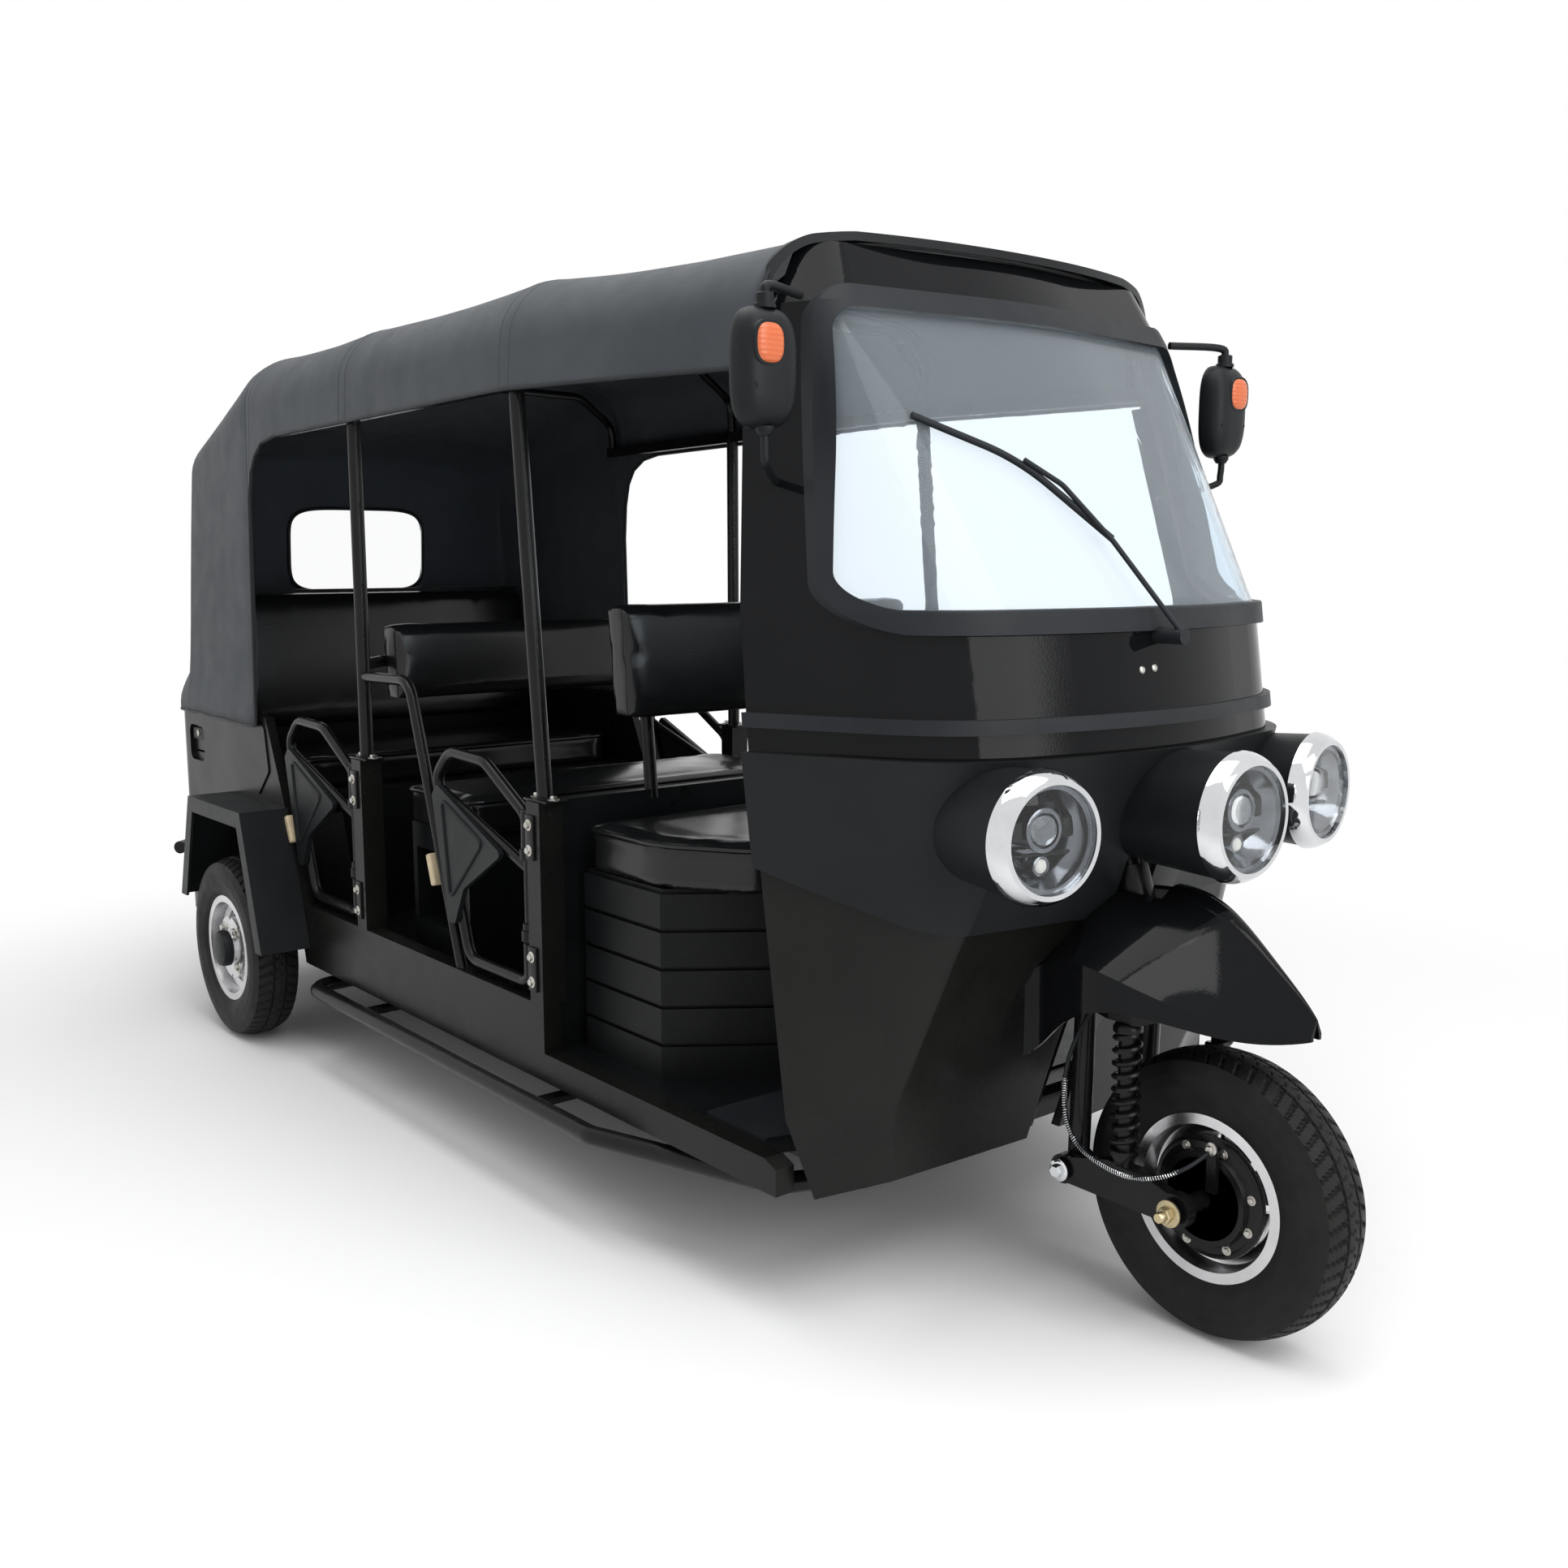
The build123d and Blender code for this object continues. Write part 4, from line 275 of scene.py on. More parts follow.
def addTo(bag, points, faces):
    start = len(bag["points"])
    bag["points"] += [Vector(p) for p in points]
    bag["faces"] += [tuple(start + k for k in face) for face in faces]


def meshFrom(name, bag):
    mesh = bpy.data.meshes.new(name)
    mesh.from_pydata([tuple(p) for p in bag["points"]], [], bag["faces"])
    mesh.validate()
    mesh.update()
    return mesh


def newPiece(name, bag, finishName, body, sharp=40):
    mesh = meshFrom(name, bag)
    mesh.materials.append(finishes[finishName])
    mesh.shade_smooth()
    mesh.set_sharp_from_angle(angle=math.radians(sharp))
    piece = bpy.data.objects.new(name, mesh)
    bpy.context.scene.collection.objects.link(piece)
    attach(piece, body)
    return piece


def sideways(axis):
    axis = Vector(axis).normalized()
    other = Vector((0, 0, 1)) if abs(axis.z) < 0.9 else Vector((1, 0, 0))
    across = axis.cross(other).normalized()
    return axis, across, axis.cross(across)


def joinRings(faces, rings, count):
    for r in range(rings - 1):
        for k in range(count):
            n = (k + 1) % count
            faces.append((r * count + k, r * count + n, (r + 1) * count + n, (r + 1) * count + k))


def closeEnds(faces, rings, count):
    faces.append(tuple(range(count - 1, -1, -1)))
    faces.append(tuple((rings - 1) * count + k for k in range(count)))


def turned(bag, at, axis, profile, sides=32):
    axis, across, up = sideways(axis)
    points, faces = [], []
    for along, radius in profile:
        for k in range(sides):
            angle = 2 * math.pi * k / sides
            points.append(Vector(at) + axis * along + radius * (math.cos(angle) * across + math.sin(angle) * up))
    joinRings(faces, len(profile), sides)
    closeEnds(faces, len(profile), sides)
    addTo(bag, points, faces)


def pipe(bag, path, radius, sides=10, closed=False):
    path = [Vector(p) for p in path]
    count = len(path)
    points, faces = [], []
    across = None
    for i, p in enumerate(path):
        before = path[i - 1] if i or closed else p
        after = path[(i + 1) % count] if i < count - 1 or closed else p
        run = (after - before).normalized()
        if across is None:
            across = sideways(run)[1]
        across = (across - run * across.dot(run)).normalized()
        up = run.cross(across)
        for k in range(sides):
            angle = 2 * math.pi * k / sides
            points.append(p + radius * (math.cos(angle) * across + math.sin(angle) * up))
    rings = count if closed else count - 1
    for r in range(rings):
        q = (r + 1) % count
        for k in range(sides):
            n = (k + 1) % sides
            faces.append((r * sides + k, r * sides + n, q * sides + n, q * sides + k))
    if not closed:
        closeEnds(faces, count, sides)
    addTo(bag, points, faces)


def brick(bag, at, size, edge, along=(1, 0, 0), up=(0, 0, 1)):
    along = Vector(along).normalized()
    side = Vector(up).cross(along).normalized()
    up = along.cross(side)
    solid = bmesh.new()
    bmesh.ops.create_cube(solid, size=1)
    bmesh.ops.scale(solid, vec=size, verts=solid.verts)
    bmesh.ops.bevel(solid, geom=solid.edges[:], offset=edge, segments=3, affect="EDGES", profile=0.5)
    solid.verts.index_update()
    points = [Vector(at) + along * v.co.x + side * v.co.y + up * v.co.z for v in solid.verts]
    addTo(bag, points, [[v.index for v in face.verts] for face in solid.faces])
    solid.free()


def bolt(bag, at, axis, across):
    head = across * 0.62
    turned(bag, at, axis, [(-0.002, across * 0.95), (0.0012, across * 0.95), (0.0018, across * 0.88)], 20)
    turned(bag, at, axis, [(0, across * 0.58), (head * 0.85, across * 0.58), (head, across * 0.48)], 6)


def smoothRun(points, steps):
    points = [Vector(p) for p in points]
    ends = [2 * points[0] - points[1]] + points + [2 * points[-1] - points[-2]]
    run = []
    for i in range(1, len(ends) - 2):
        a, b, c, d = ends[i - 1:i + 3]
        for k in range(steps):
            t = k / steps
            run.append(0.5 * (2 * b + (c - a) * t + (2 * a - 5 * b + 4 * c - d) * t * t
                              + (3 * b - a - 3 * c + d) * t ** 3))
    return run + [points[-1]]


surfaces = {}


def onSurface(nodeName, start, towards):
    if nodeName not in surfaces:
        mesh = nodes[nodeName].data
        surfaces[nodeName] = BVHTree.FromPolygons([v.co.copy() for v in mesh.vertices],
                                                  [tuple(p.vertices) for p in mesh.polygons])
    at, normal = surfaces[nodeName].ray_cast(Vector(start), Vector(towards).normalized())[:2]
    return at, normal


# canopy: one sheet over the bows, down the rear corners and across the back to the window
canopyLook = {
    "sections": [(0.9615, 0.516, 1.800, 1.850, 0.110, 0.010), (0.2565, 0.584, 1.822, 1.872, 0.120, 0.010),
                 (-1.0485, 0.588, 1.795, 1.846, 0.120, 0.010), (-1.1385, 0.592, 1.785, 1.836, 0.120, 0.014),
                 (-1.6135, 0.592, 1.640, 1.680, 0.120, 0.050), (-1.7235, 0.560, 1.560, 1.590, 0.120, 0.060),
                 (-1.7635, 0.520, 1.530, 1.556, 0.110, 0.050)],
    "hems": [(0.9615, 1.609), (0.2565, 1.624), (-0.90, 1.599), (-0.98, 1.586), (-1.03, 1.557), (-1.06, 1.515),
             (-1.078, 1.45), (-1.0865, 1.35), (-1.0885, 0.844), (-1.7635, 0.848)],
    "skirt": 0.0095, "skirtFrom": 0.95, "skirtFull": 0.878, "hemWaver": 0.003,
    "cornerBend": 0.09, "cornerClear": 0.0065,
    "bows": [0.93, 0.2565, -0.4935, -1.0885, -1.70], "sag": 0.008, "wrinkle": 0.0022, "thick": 0.0022,
    "bendShare": 0.86, "bendPull": 0.55, "topBelow": 0.11, "topFade": 0.12, "tuck": 0.002, "slackTuck": 0.003,
    "backLean": 0.055, "backFoot": 0.865, "backHead": 1.7, "backSlack": 0.004, "backFrom": -1.5,
    "step": 0.02, "side": 30, "curve": 9, "crown": 36, "rings": 14, "footRow": 40,
    "windowHalf": 0.226, "windowHigh": 0.131, "windowAt": 1.314, "windowSquare": 5,
    "flat": (2.95, 3.62), "binding": 0.0048, "seam": 0.0022, "seamGap": 0.017, "seamProud": 0.0006,
    "snapsAt": (-1.13, -1.27, -1.42, -1.57), "snapLine": 0.598, "snapHeight": 0.862,
    "snap": [(-0.003, 0.0085), (0.004, 0.0085), (0.0065, 0.005)],
}


def alongTable(table, x):
    for first, second in zip(table[:-1], table[1:]):
        if second[0] <= x <= first[0]:
            t = (first[0] - x) / (first[0] - second[0])
            return [a + (b - a) * t for a, b in zip(first[1:], second[1:])]
    return list(table[0][1:] if x > table[0][0] else table[-1][1:])


def skirtShare(z):
    look = canopyLook
    return min(1, max(0, (look["skirtFrom"] - z) / (look["skirtFrom"] - look["skirtFull"])))


def backWall(z):
    look = canopyLook
    lean = look["backLean"] * (z - look["backFoot"]) / (look["backHead"] - look["backFoot"])
    return place["rearEnd"] + max(0, lean) - look["skirt"] * skirtShare(z)


def cornerOutline(x):
    half, bend = place["bodySide"], canopyLook["cornerBend"]
    inset = max(0, bend - (x - place["rearEnd"]))
    return half - bend + math.sqrt(max(0, bend * bend - inset * inset))


def betweenBows(x):
    bows = canopyLook["bows"]
    for first, second in zip(bows[:-1], bows[1:]):
        if second <= x <= first:
            return 1 - (2 * (first - x) / (first - second) - 1) ** 2
    return 0


def canopyRow(x, rise=0):
    look = canopyLook
    half, shoulder, crown, bend, lean = alongTable(look["sections"], x)
    hem = alongTable(look["hems"], x)[0]
    half, crown, shoulder = half + rise, crown + rise, shoulder + rise
    top = half - lean
    lift = crown - shoulder
    radius = (top * top + lift * lift) / (2 * lift)
    reach = bend * look["bendShare"]
    corner = Vector((top, shoulder))
    sideStart = corner + (Vector((half, hem)) - corner).normalized() * reach
    archY = top - reach
    archEnd = Vector((archY, crown - radius + math.sqrt(radius * radius - archY * archY)))
    inner, outer = sideStart.lerp(corner, look["bendPull"]), archEnd.lerp(corner, look["bendPull"])
    quarter = [Vector((half, hem)).lerp(sideStart, k / look["side"]) for k in range(look["side"])]
    for k in range(look["curve"]):
        t = k / look["curve"]
        quarter.append((1 - t) ** 3 * sideStart + 3 * t * (1 - t) ** 2 * inner
                       + 3 * t * t * (1 - t) * outer + t ** 3 * archEnd)
    for k in range(look["crown"] // 2):
        y = archY * (1 - 2 * k / look["crown"])
        quarter.append(Vector((y, crown - radius + math.sqrt(radius * radius - y * y))))
    outline = [(-p.x, p.y) for p in quarter] + [(0, crown)] + [(p.x, p.y) for p in reversed(quarter)]
    slack = betweenBows(x)
    row = []
    for y, z in outline:
        onTop = min(1, max(0, (z - shoulder + look["topBelow"]) / look["topFade"]))
        creases = noise.noise((x * 3.1, y * 4.0, z * 3.4)) * 0.6 + noise.noise((x * 7.5, y * 7.0, z * 6.1)) * 0.4
        hung = noise.noise((x * 17, 0.4 * y, z * 2.2)) * (1 - onTop)
        move = look["wrinkle"] * (creases + 0.7 * hung)
        z -= onTop * (look["sag"] * slack - move)
        y += math.copysign((1 - onTop) * (move - look["tuck"] - look["slackTuck"] * slack), y)
        y += math.copysign(look["skirt"] * skirtShare(z), y)
        short = max(0, cornerOutline(x) + look["cornerClear"] - abs(y))  # round the body's rear corners
        y += math.copysign(short * skirtShare(z), y)
        z += look["hemWaver"] * noise.noise((x * 9, y * 5, 1.3)) * skirtShare(z)
        row.append(Vector((max(x, backWall(z)) if x < look["backFrom"] else x, y, z)))
    return row


def makeCanopy():
    look = canopyLook
    bag = newBag()
    front, back = look["sections"][0][0], look["sections"][-1][0]
    count = round((front - back) / look["step"])
    stations = [front + (back - front) * k / count for k in range(count + 1)]
    stations += [row[0] for row in look["hems"][2:-1]] + [row[0] for row in look["sections"][1:-1]]
    stations = sorted(set(round(x, 4) for x in stations), reverse=True)
    rows = [canopyRow(x) for x in stations]
    wide = len(rows[0])
    for row in rows:
        bag["points"] += row
    for r in range(len(rows) - 1):
        for k in range(wide - 1):
            a = r * wide + k
            bag["faces"].append((a, a + wide, a + wide + 1, a + 1))
    # back wall: rings from the last arch and the foot of the sheet to the window opening
    arch = [(len(rows) - 1) * wide + k for k in range(wide)]
    low = rows[-1]
    foot = []
    for k in range(1, look["footRow"]):
        y = low[-1].y + (low[0].y - low[-1].y) * k / look["footRow"]
        bag["points"].append(Vector((backWall(low[0].z), y, low[0].z)))
        foot.append(len(bag["points"]) - 1)
    ring = arch + foot
    rim = [bag["points"][k].copy() for k in ring]
    for step in range(1, look["rings"] + 1):
        t = step / look["rings"]
        nextRing = []
        for p in rim:
            angle = math.atan2((p.z - look["windowAt"]) / look["windowHigh"], p.y / look["windowHalf"])
            c, s = math.cos(angle), math.sin(angle)
            size = (abs(c) ** look["windowSquare"] + abs(s) ** look["windowSquare"]) ** (-1 / look["windowSquare"])
            hole = Vector((0, size * c * look["windowHalf"], look["windowAt"] + size * s * look["windowHigh"]))
            q = p.lerp(hole, t)
            soft = noise.noise((q.y * 3, q.z * 3, 2.7)) * look["backSlack"] * math.sin(math.pi * min(1, t * 1.05))
            bag["points"].append(Vector((backWall(q.z) + soft, q.y, q.z)))
            nextRing.append(len(bag["points"]) - 1)
        for k in range(len(ring)):
            n = (k + 1) % len(ring)
            bag["faces"].append((ring[k], nextRing[k], nextRing[n], ring[n]))
        ring = nextRing
    nearHem = [row[0] for row in rows]
    farHem = [row[-1] for row in reversed(rows)]
    edge = nearHem + [bag["points"][k] for k in reversed(foot)] + farHem + rows[0][-2:0:-1]
    return bag, edge, [bag["points"][k] for k in ring]


canopyBag, canopyEdge, windowEdge = makeCanopy()
canopy = newPiece("canopySheet", canopyBag, "canvas", "body", 70)
cloth = canopy.modifiers.new("clothThickness", "SOLIDIFY")
cloth.thickness = canopyLook["thick"]
cloth.offset = -1
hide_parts("canopy_roof", "canopy_rear")
bindingBag, seamBag, snapBag = newBag(), newBag(), newBag()
pipe(bindingBag, canopyEdge, canopyLook["binding"], 8, True)
pipe(bindingBag, windowEdge, canopyLook["binding"] * 1.2, 8, True)
for bowAt in canopyLook["bows"][1:4]:
    for side in (-1, 1):
        pipe(seamBag, canopyRow(bowAt + side * canopyLook["seamGap"], canopyLook["seamProud"]), canopyLook["seam"], 6)
for along in canopyLook["snapsAt"]:
    for side in (-1, 1):
        spot = (along, side * canopyLook["snapLine"], canopyLook["snapHeight"])
        turned(snapBag, spot, (0, side, 0), canopyLook["snap"], 16)
binding = newPiece("canopyBinding", bindingBag, "rubberTrim", "body")
seams = newPiece("canopySeams", seamBag, "canvas", "body")
snaps = newPiece("canopySnaps", snapBag, "zinc", "body")


# tyres with a road tread
tyreLook = {"half": 0.061, "bead": 0.143, "inner": 0.127, "shoulderY": 0.053, "shoulderDrop": 0.013, "turn": 432,
            "pitches": 54, "treadRow": 64, "grooveAt": 0.0165, "grooveHalf": 0.0026, "grooveDeep": 0.0052,
            "grooveWander": 0.0011, "slotDeep": 0.0046, "slotLean": 16, "slotShare": 0.13, "sipeShare": 0.07,
            "ribEdge": 0.006, "wallSteps": 16, "wallRings": (2, 3, 8, 12), "wallRing": 0.0009}


def treadDepth(y, angle):
    look = tyreLook
    pitch = angle * look["pitches"] / (2 * math.pi)
    away = abs((pitch + abs(y) * look["slotLean"] + (0.5 if y > 0 else 0)) % 1 - 0.5)
    wander = look["grooveWander"] * (4 * abs((pitch % 1) - 0.5) - 1)
    depth = 0
    if abs(abs(y) - look["grooveAt"] - wander) < look["grooveHalf"]:
        depth = look["grooveDeep"]
    elif abs(y) > look["grooveAt"] + look["ribEdge"] and away < look["slotShare"]:
        depth = look["slotDeep"] * min(1, (look["shoulderY"] + 0.004 - abs(y)) / 0.008)
    elif abs(y) < look["grooveAt"] - look["ribEdge"] and away < look["sipeShare"]:
        depth = look["slotDeep"] * 0.6
    return max(0, depth)


def tyreSection():
    look = tyreLook
    low = tyreRadius - look["shoulderDrop"]
    wall = []
    for k in range(look["wallSteps"] + 1):
        t = k / look["wallSteps"]
        y = (1 - t) ** 2 * (look["half"] - 0.012) + 2 * t * (1 - t) * (look["half"] + 0.011) + t * t * look["shoulderY"]
        r = (1 - t) ** 2 * look["bead"] + 2 * t * (1 - t) * (look["bead"] + 0.048) + t * t * low
        ring = look["wallRing"] if k in look["wallRings"] else 0
        wall.append((y + ring, r, False))
    crown = []
    for k in range(1, look["treadRow"]):
        y = look["shoulderY"] * (1 - 2 * k / look["treadRow"])
        crown.append((y, tyreRadius - look["shoulderDrop"] * (y / look["shoulderY"]) ** 2, True))
    inside = [(-look["half"] + 0.016, look["inner"], False), (look["half"] - 0.016, look["inner"], False)]
    return wall + crown + [(-y, r, False) for y, r, tread in reversed(wall)] + inside


def tyreBag(hub):
    section = tyreSection()
    count, turn = len(section), tyreLook["turn"]
    bag = newBag()
    for k in range(turn):
        angle = 2 * math.pi * k / turn
        for y, r, tread in section:
            if tread:
                r -= treadDepth(y, angle)
            bag["points"].append(Vector((hub.x + r * math.cos(angle), hub.y + y, hub.z + r * math.sin(angle))))
    for k in range(turn):
        n = (k + 1) % turn
        for j in range(count):
            m = (j + 1) % count
            bag["faces"].append((k * count + j, k * count + m, n * count + m, n * count + j))
    return bag


wheels = {"frontTread": ("front_tyre", "front_wheel"), "rearRightTread": ("rear_right_tyre", "rear_right_wheel"),
          "rearLeftTread": ("rear_left_tyre", "rear_left_wheel")}
for name, (node, body) in wheels.items():
    tyre = newPiece(name, tyreBag(nodeMiddle(node)), "tyreRubber", body, 35)
    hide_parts(node)
print("tyres:", len(wheels))


# front suspension: coil springs over dampers, nuts and bolts
shockLow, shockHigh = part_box("front_shocks")
springLook = {"coil": 0.0195, "wire": 0.0058, "turns": 9, "perTurn": 20, "damper": 0.0145, "cup": 0.0245,
              "inset": 0.0225, "foot": 0.028, "head": 0.018}
axleLook = {"nutLine": 0.147, "nut": 0.024, "stubLine": 0.16, "stub": [(0, 0.009), (0.013, 0.009), (0.015, 0.0075)],
            "linkBack": 0.232, "linkLine": 0.144, "linkBolt": 0.021}
springBag, damperBag, nutBag, brassBag = newBag(), newBag(), newBag(), newBag()
shockX = (shockLow[0] + shockHigh[0]) / 2
shockReach = shockHigh[1] - springLook["inset"]
for side in (-1, 1):
    low, high = shockLow[2] + springLook["foot"], shockHigh[2] - springLook["head"]
    coil = []
    marks = springLook["turns"] * springLook["perTurn"]
    for k in range(marks + 1):
        angle = 2 * math.pi * k / springLook["perTurn"]
        z = low + (high - low) * k / marks
        coil.append((shockX + springLook["coil"] * math.cos(angle),
                     side * shockReach + springLook["coil"] * math.sin(angle), z))
    pipe(springBag, coil, springLook["wire"], 8)
    at = (shockX, side * shockReach, shockLow[2])
    cup, rod, tall = springLook["cup"], springLook["damper"], shockHigh[2] - shockLow[2]
    turned(damperBag, at, (0, 0, 1),
           [(0.0, rod), (0.012, rod * 1.3), (0.02, cup), (0.028, cup), (0.0285, rod), (tall - 0.016, rod),
            (tall - 0.0155, cup), (tall - 0.007, cup), (tall, cup * 0.8)], 28)
    turned(nutBag, (shockX, side * shockReach, shockHigh[2] - 0.004), (0, 0, 1),
           [(0, 0.0125), (0.009, 0.0125), (0.011, 0.011), (0.0112, 0.007), (0.021, 0.007), (0.022, 0.0055)], 24)
    bolt(brassBag, (frontHub.x, side * axleLook["nutLine"], frontHub.z), (0, side, 0), axleLook["nut"])
    turned(brassBag, (frontHub.x, side * axleLook["stubLine"], frontHub.z), (0, side, 0), axleLook["stub"], 20)
    bolt(nutBag, (frontHub.x - axleLook["linkBack"], side * axleLook["linkLine"], frontHub.z), (0, side, 0),
         axleLook["linkBolt"])
springs = newPiece("frontSprings", springBag, "framePaint", "steering")
dampers = newPiece("frontDampers", damperBag, "framePaint", "steering")
for piece in (springs, dampers):
    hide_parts("front_shocks")
newPiece("suspensionNuts", nutBag, "chrome", "steering")
newPiece("axleNuts", brassBag, "brass", "steering")

# brake plate behind the link, with its bolts
brakeLook = {"plate": [(0.0, 0.100), (0.010, 0.106), (0.017, 0.105), (0.019, 0.098), (0.0225, 0.095), (0.0235, 0.084),
                       (0.031, 0.080), (0.033, 0.070)],
             "from": 0.022, "bolts": (15, 70, 118, 196, 248, 300, 338), "boltRing": 0.0895, "boltOut": 0.0228,
             "bolt": 0.009, "cableBolt": (0.021, -0.067, 0.0965), "cableBoltSize": 0.012}
plateBag, plateBoltBag = newBag(), newBag()
turned(plateBag, (frontHub.x, -brakeLook["from"], frontHub.z), (0, -1, 0), brakeLook["plate"], 72)
for angle in brakeLook["bolts"]:
    x, z = math.cos(math.radians(angle)), math.sin(math.radians(angle))
    spot = (frontHub.x + brakeLook["boltRing"] * x, -brakeLook["from"] - brakeLook["boltOut"],
            frontHub.z + brakeLook["boltRing"] * z)
    bolt(plateBoltBag, spot, (0, -1, 0), brakeLook["bolt"])
x, y, z = brakeLook["cableBolt"]
bolt(plateBoltBag, (frontHub.x + x, y, frontHub.z + z), (0, -1, 0), brakeLook["cableBoltSize"])
newPiece("brakePlate", plateBag, "framePaint", "steering")
newPiece("brakePlateBolts", plateBoltBag, "zinc", "steering")

# brake cable: a stiff cord from the fork to the brake plate, with a wire wrap
cableLook = {"route": [(-0.195, -0.110, 0.539), (-0.216, -0.140, 0.480), (-0.226, -0.150, 0.380),
                       (-0.200, -0.150, 0.305), (-0.110, -0.150, 0.280), (-0.035, -0.148, 0.290),
                       (0.020, -0.110, 0.322), (0.021, -0.060, 0.3415)],
             "radius": 0.0038, "wrap": 0.0009, "wrapPitch": 0.0042, "bareFrom": 18, "bareTo": -14}


def splinePoints(name, route):
    curve = bpy.data.curves.new(name, "CURVE")
    curve.dimensions = "3D"
    spline = curve.splines.new("NURBS")
    spline.points.add(len(route) - 1)
    for point, spot in zip(spline.points, route):
        point.co = (*spot, 1)
    spline.order_u = 3
    spline.use_endpoint_u = True
    spline.resolution_u = 14
    holder = bpy.data.objects.new(name, curve)
    mesh = bpy.data.meshes.new_from_object(holder)
    points = [v.co.copy() for v in mesh.vertices]
    bpy.data.objects.remove(holder)
    bpy.data.curves.remove(curve)
    bpy.data.meshes.remove(mesh)
    return points


def spiral(bag, path, around, wire, pitch, perTurn):
    length = sum((b - a).length for a, b in zip(path[:-1], path[1:]))
    marks = int(length / pitch * perTurn)
    coil, travelled, leg = [], 0, 0
    across = sideways(path[1] - path[0])[1]
    for k in range(marks + 1):
        goal = length * k / marks
        while leg < len(path) - 2 and travelled + (path[leg + 1] - path[leg]).length < goal:
            travelled += (path[leg + 1] - path[leg]).length
            leg += 1
        run = path[leg + 1] - path[leg]
        spot = path[leg] + run.normalized() * min(run.length, goal - travelled)
        run.normalize()
        across = (across - run * across.dot(run)).normalized()
        angle = 2 * math.pi * k / perTurn
        coil.append(spot + around * (math.cos(angle) * across + math.sin(angle) * run.cross(across)))
    pipe(bag, coil, wire, 5)


cablePath = splinePoints("brakeCableRoute", [(frontHub.x + x, y, z) for x, y, z in cableLook["route"]])
cableBag, wrapBag = newBag(), newBag()
pipe(cableBag, cablePath, cableLook["radius"], 12)
wrapped = cablePath[cableLook["bareFrom"]:cableLook["bareTo"]]
wrapOut = cableLook["radius"] + cableLook["wrap"] * 0.6
spiral(wrapBag, wrapped, wrapOut, cableLook["wrap"], cableLook["wrapPitch"], 10)
cable = newPiece("brakeCable", cableBag, "rubberTrim", "steering")
wrap = newPiece("brakeCableWrap", wrapBag, "chrome", "steering")
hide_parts("brake_cable")


# headlamps: projector, its ring, a small round lamp under it and side clips in each bowl
lampLook = {"rows": [(-0.376, 0.471, 0.879, 0.107, -8), (0.376, 0.471, 0.879, 0.107, 8), (0, 0.566, 0.882, 0.110, 0)],
            "projector": 0.030, "rise": 0.012, "behind": 0.0314, "small": 0.0125, "smallDrop": 0.043,
            "smallBehind": 0.036,
            "ring": [(-0.012, 0.0008), (0.001, 0.004), (0.0045, 0.004), (0.006, 0.001), (0.0055, -0.003),
                     (0.001, -0.004)],
            "dome": [(0.0012, -0.0045), (0.005, -0.006), (0.0085, -0.011), (0.0105, -0.018), (0.0112, -0.027)],
            "smallRing": [(-0.014, 0.001), (0.001, 0.003), (0.004, 0.003), (0.005, 0), (0.003, -0.001)],
            "smallLight": [(0.0032, -0.0015), (0.005, -0.003), (0.0062, -0.007), (0.0065, -0.0115)],
            "clip": (0.010, 0.020, 0.030), "clipOut": 0.017, "clipBehind": 0.004,
            "bar": (0.008, 0.56, 0.0055), "barBehind": 0.038, "barDrop": 0.0255}


def grown(profile, radius):
    return [(along, radius + grow) for along, grow in profile]


ringBag, domeBag, smallBag, clipBag = newBag(), newBag(), newBag(), newBag()
for y, reach, z, radius, toe in lampLook["rows"]:
    turn = math.radians(toe)
    axis = Vector((math.cos(turn), math.sin(turn), 0))
    face = Vector((place["pillar"] + reach, y, z))
    across = Vector((-axis.y, axis.x, 0))
    eye = face - axis * lampLook["behind"] + Vector((0, 0, lampLook["rise"]))
    projector, small = lampLook["projector"], lampLook["small"]
    turned(ringBag, eye, axis, grown(lampLook["ring"], projector), 48)
    turned(domeBag, eye, axis, grown(lampLook["dome"], projector), 40)
    low = face - axis * lampLook["smallBehind"] - Vector((0, 0, lampLook["smallDrop"]))
    turned(ringBag, low, axis, grown(lampLook["smallRing"], small), 32)
    turned(smallBag, low, axis, grown(lampLook["smallLight"], small), 28)
    for side in (-1, 1):
        spot = eye + across * side * (projector + lampLook["clipOut"]) - axis * lampLook["clipBehind"]
        brick(clipBag, spot, lampLook["clip"], 0.003, along=axis)
    deep, share, tall = lampLook["bar"]
    brick(clipBag, face - axis * lampLook["barBehind"] - Vector((0, 0, lampLook["barDrop"])),
          (deep, 2 * radius * share, tall), 0.002, along=axis)
newPiece("lampRings", ringBag, "reflector", "body")
newPiece("lampDomes", domeBag, "lampGlass", "body")
newPiece("lampSmallLights", smallBag, "ledWhite", "body")
newPiece("lampClips", clipBag, "moulded", "body")
print("headlamps:", len(lampLook["rows"]))


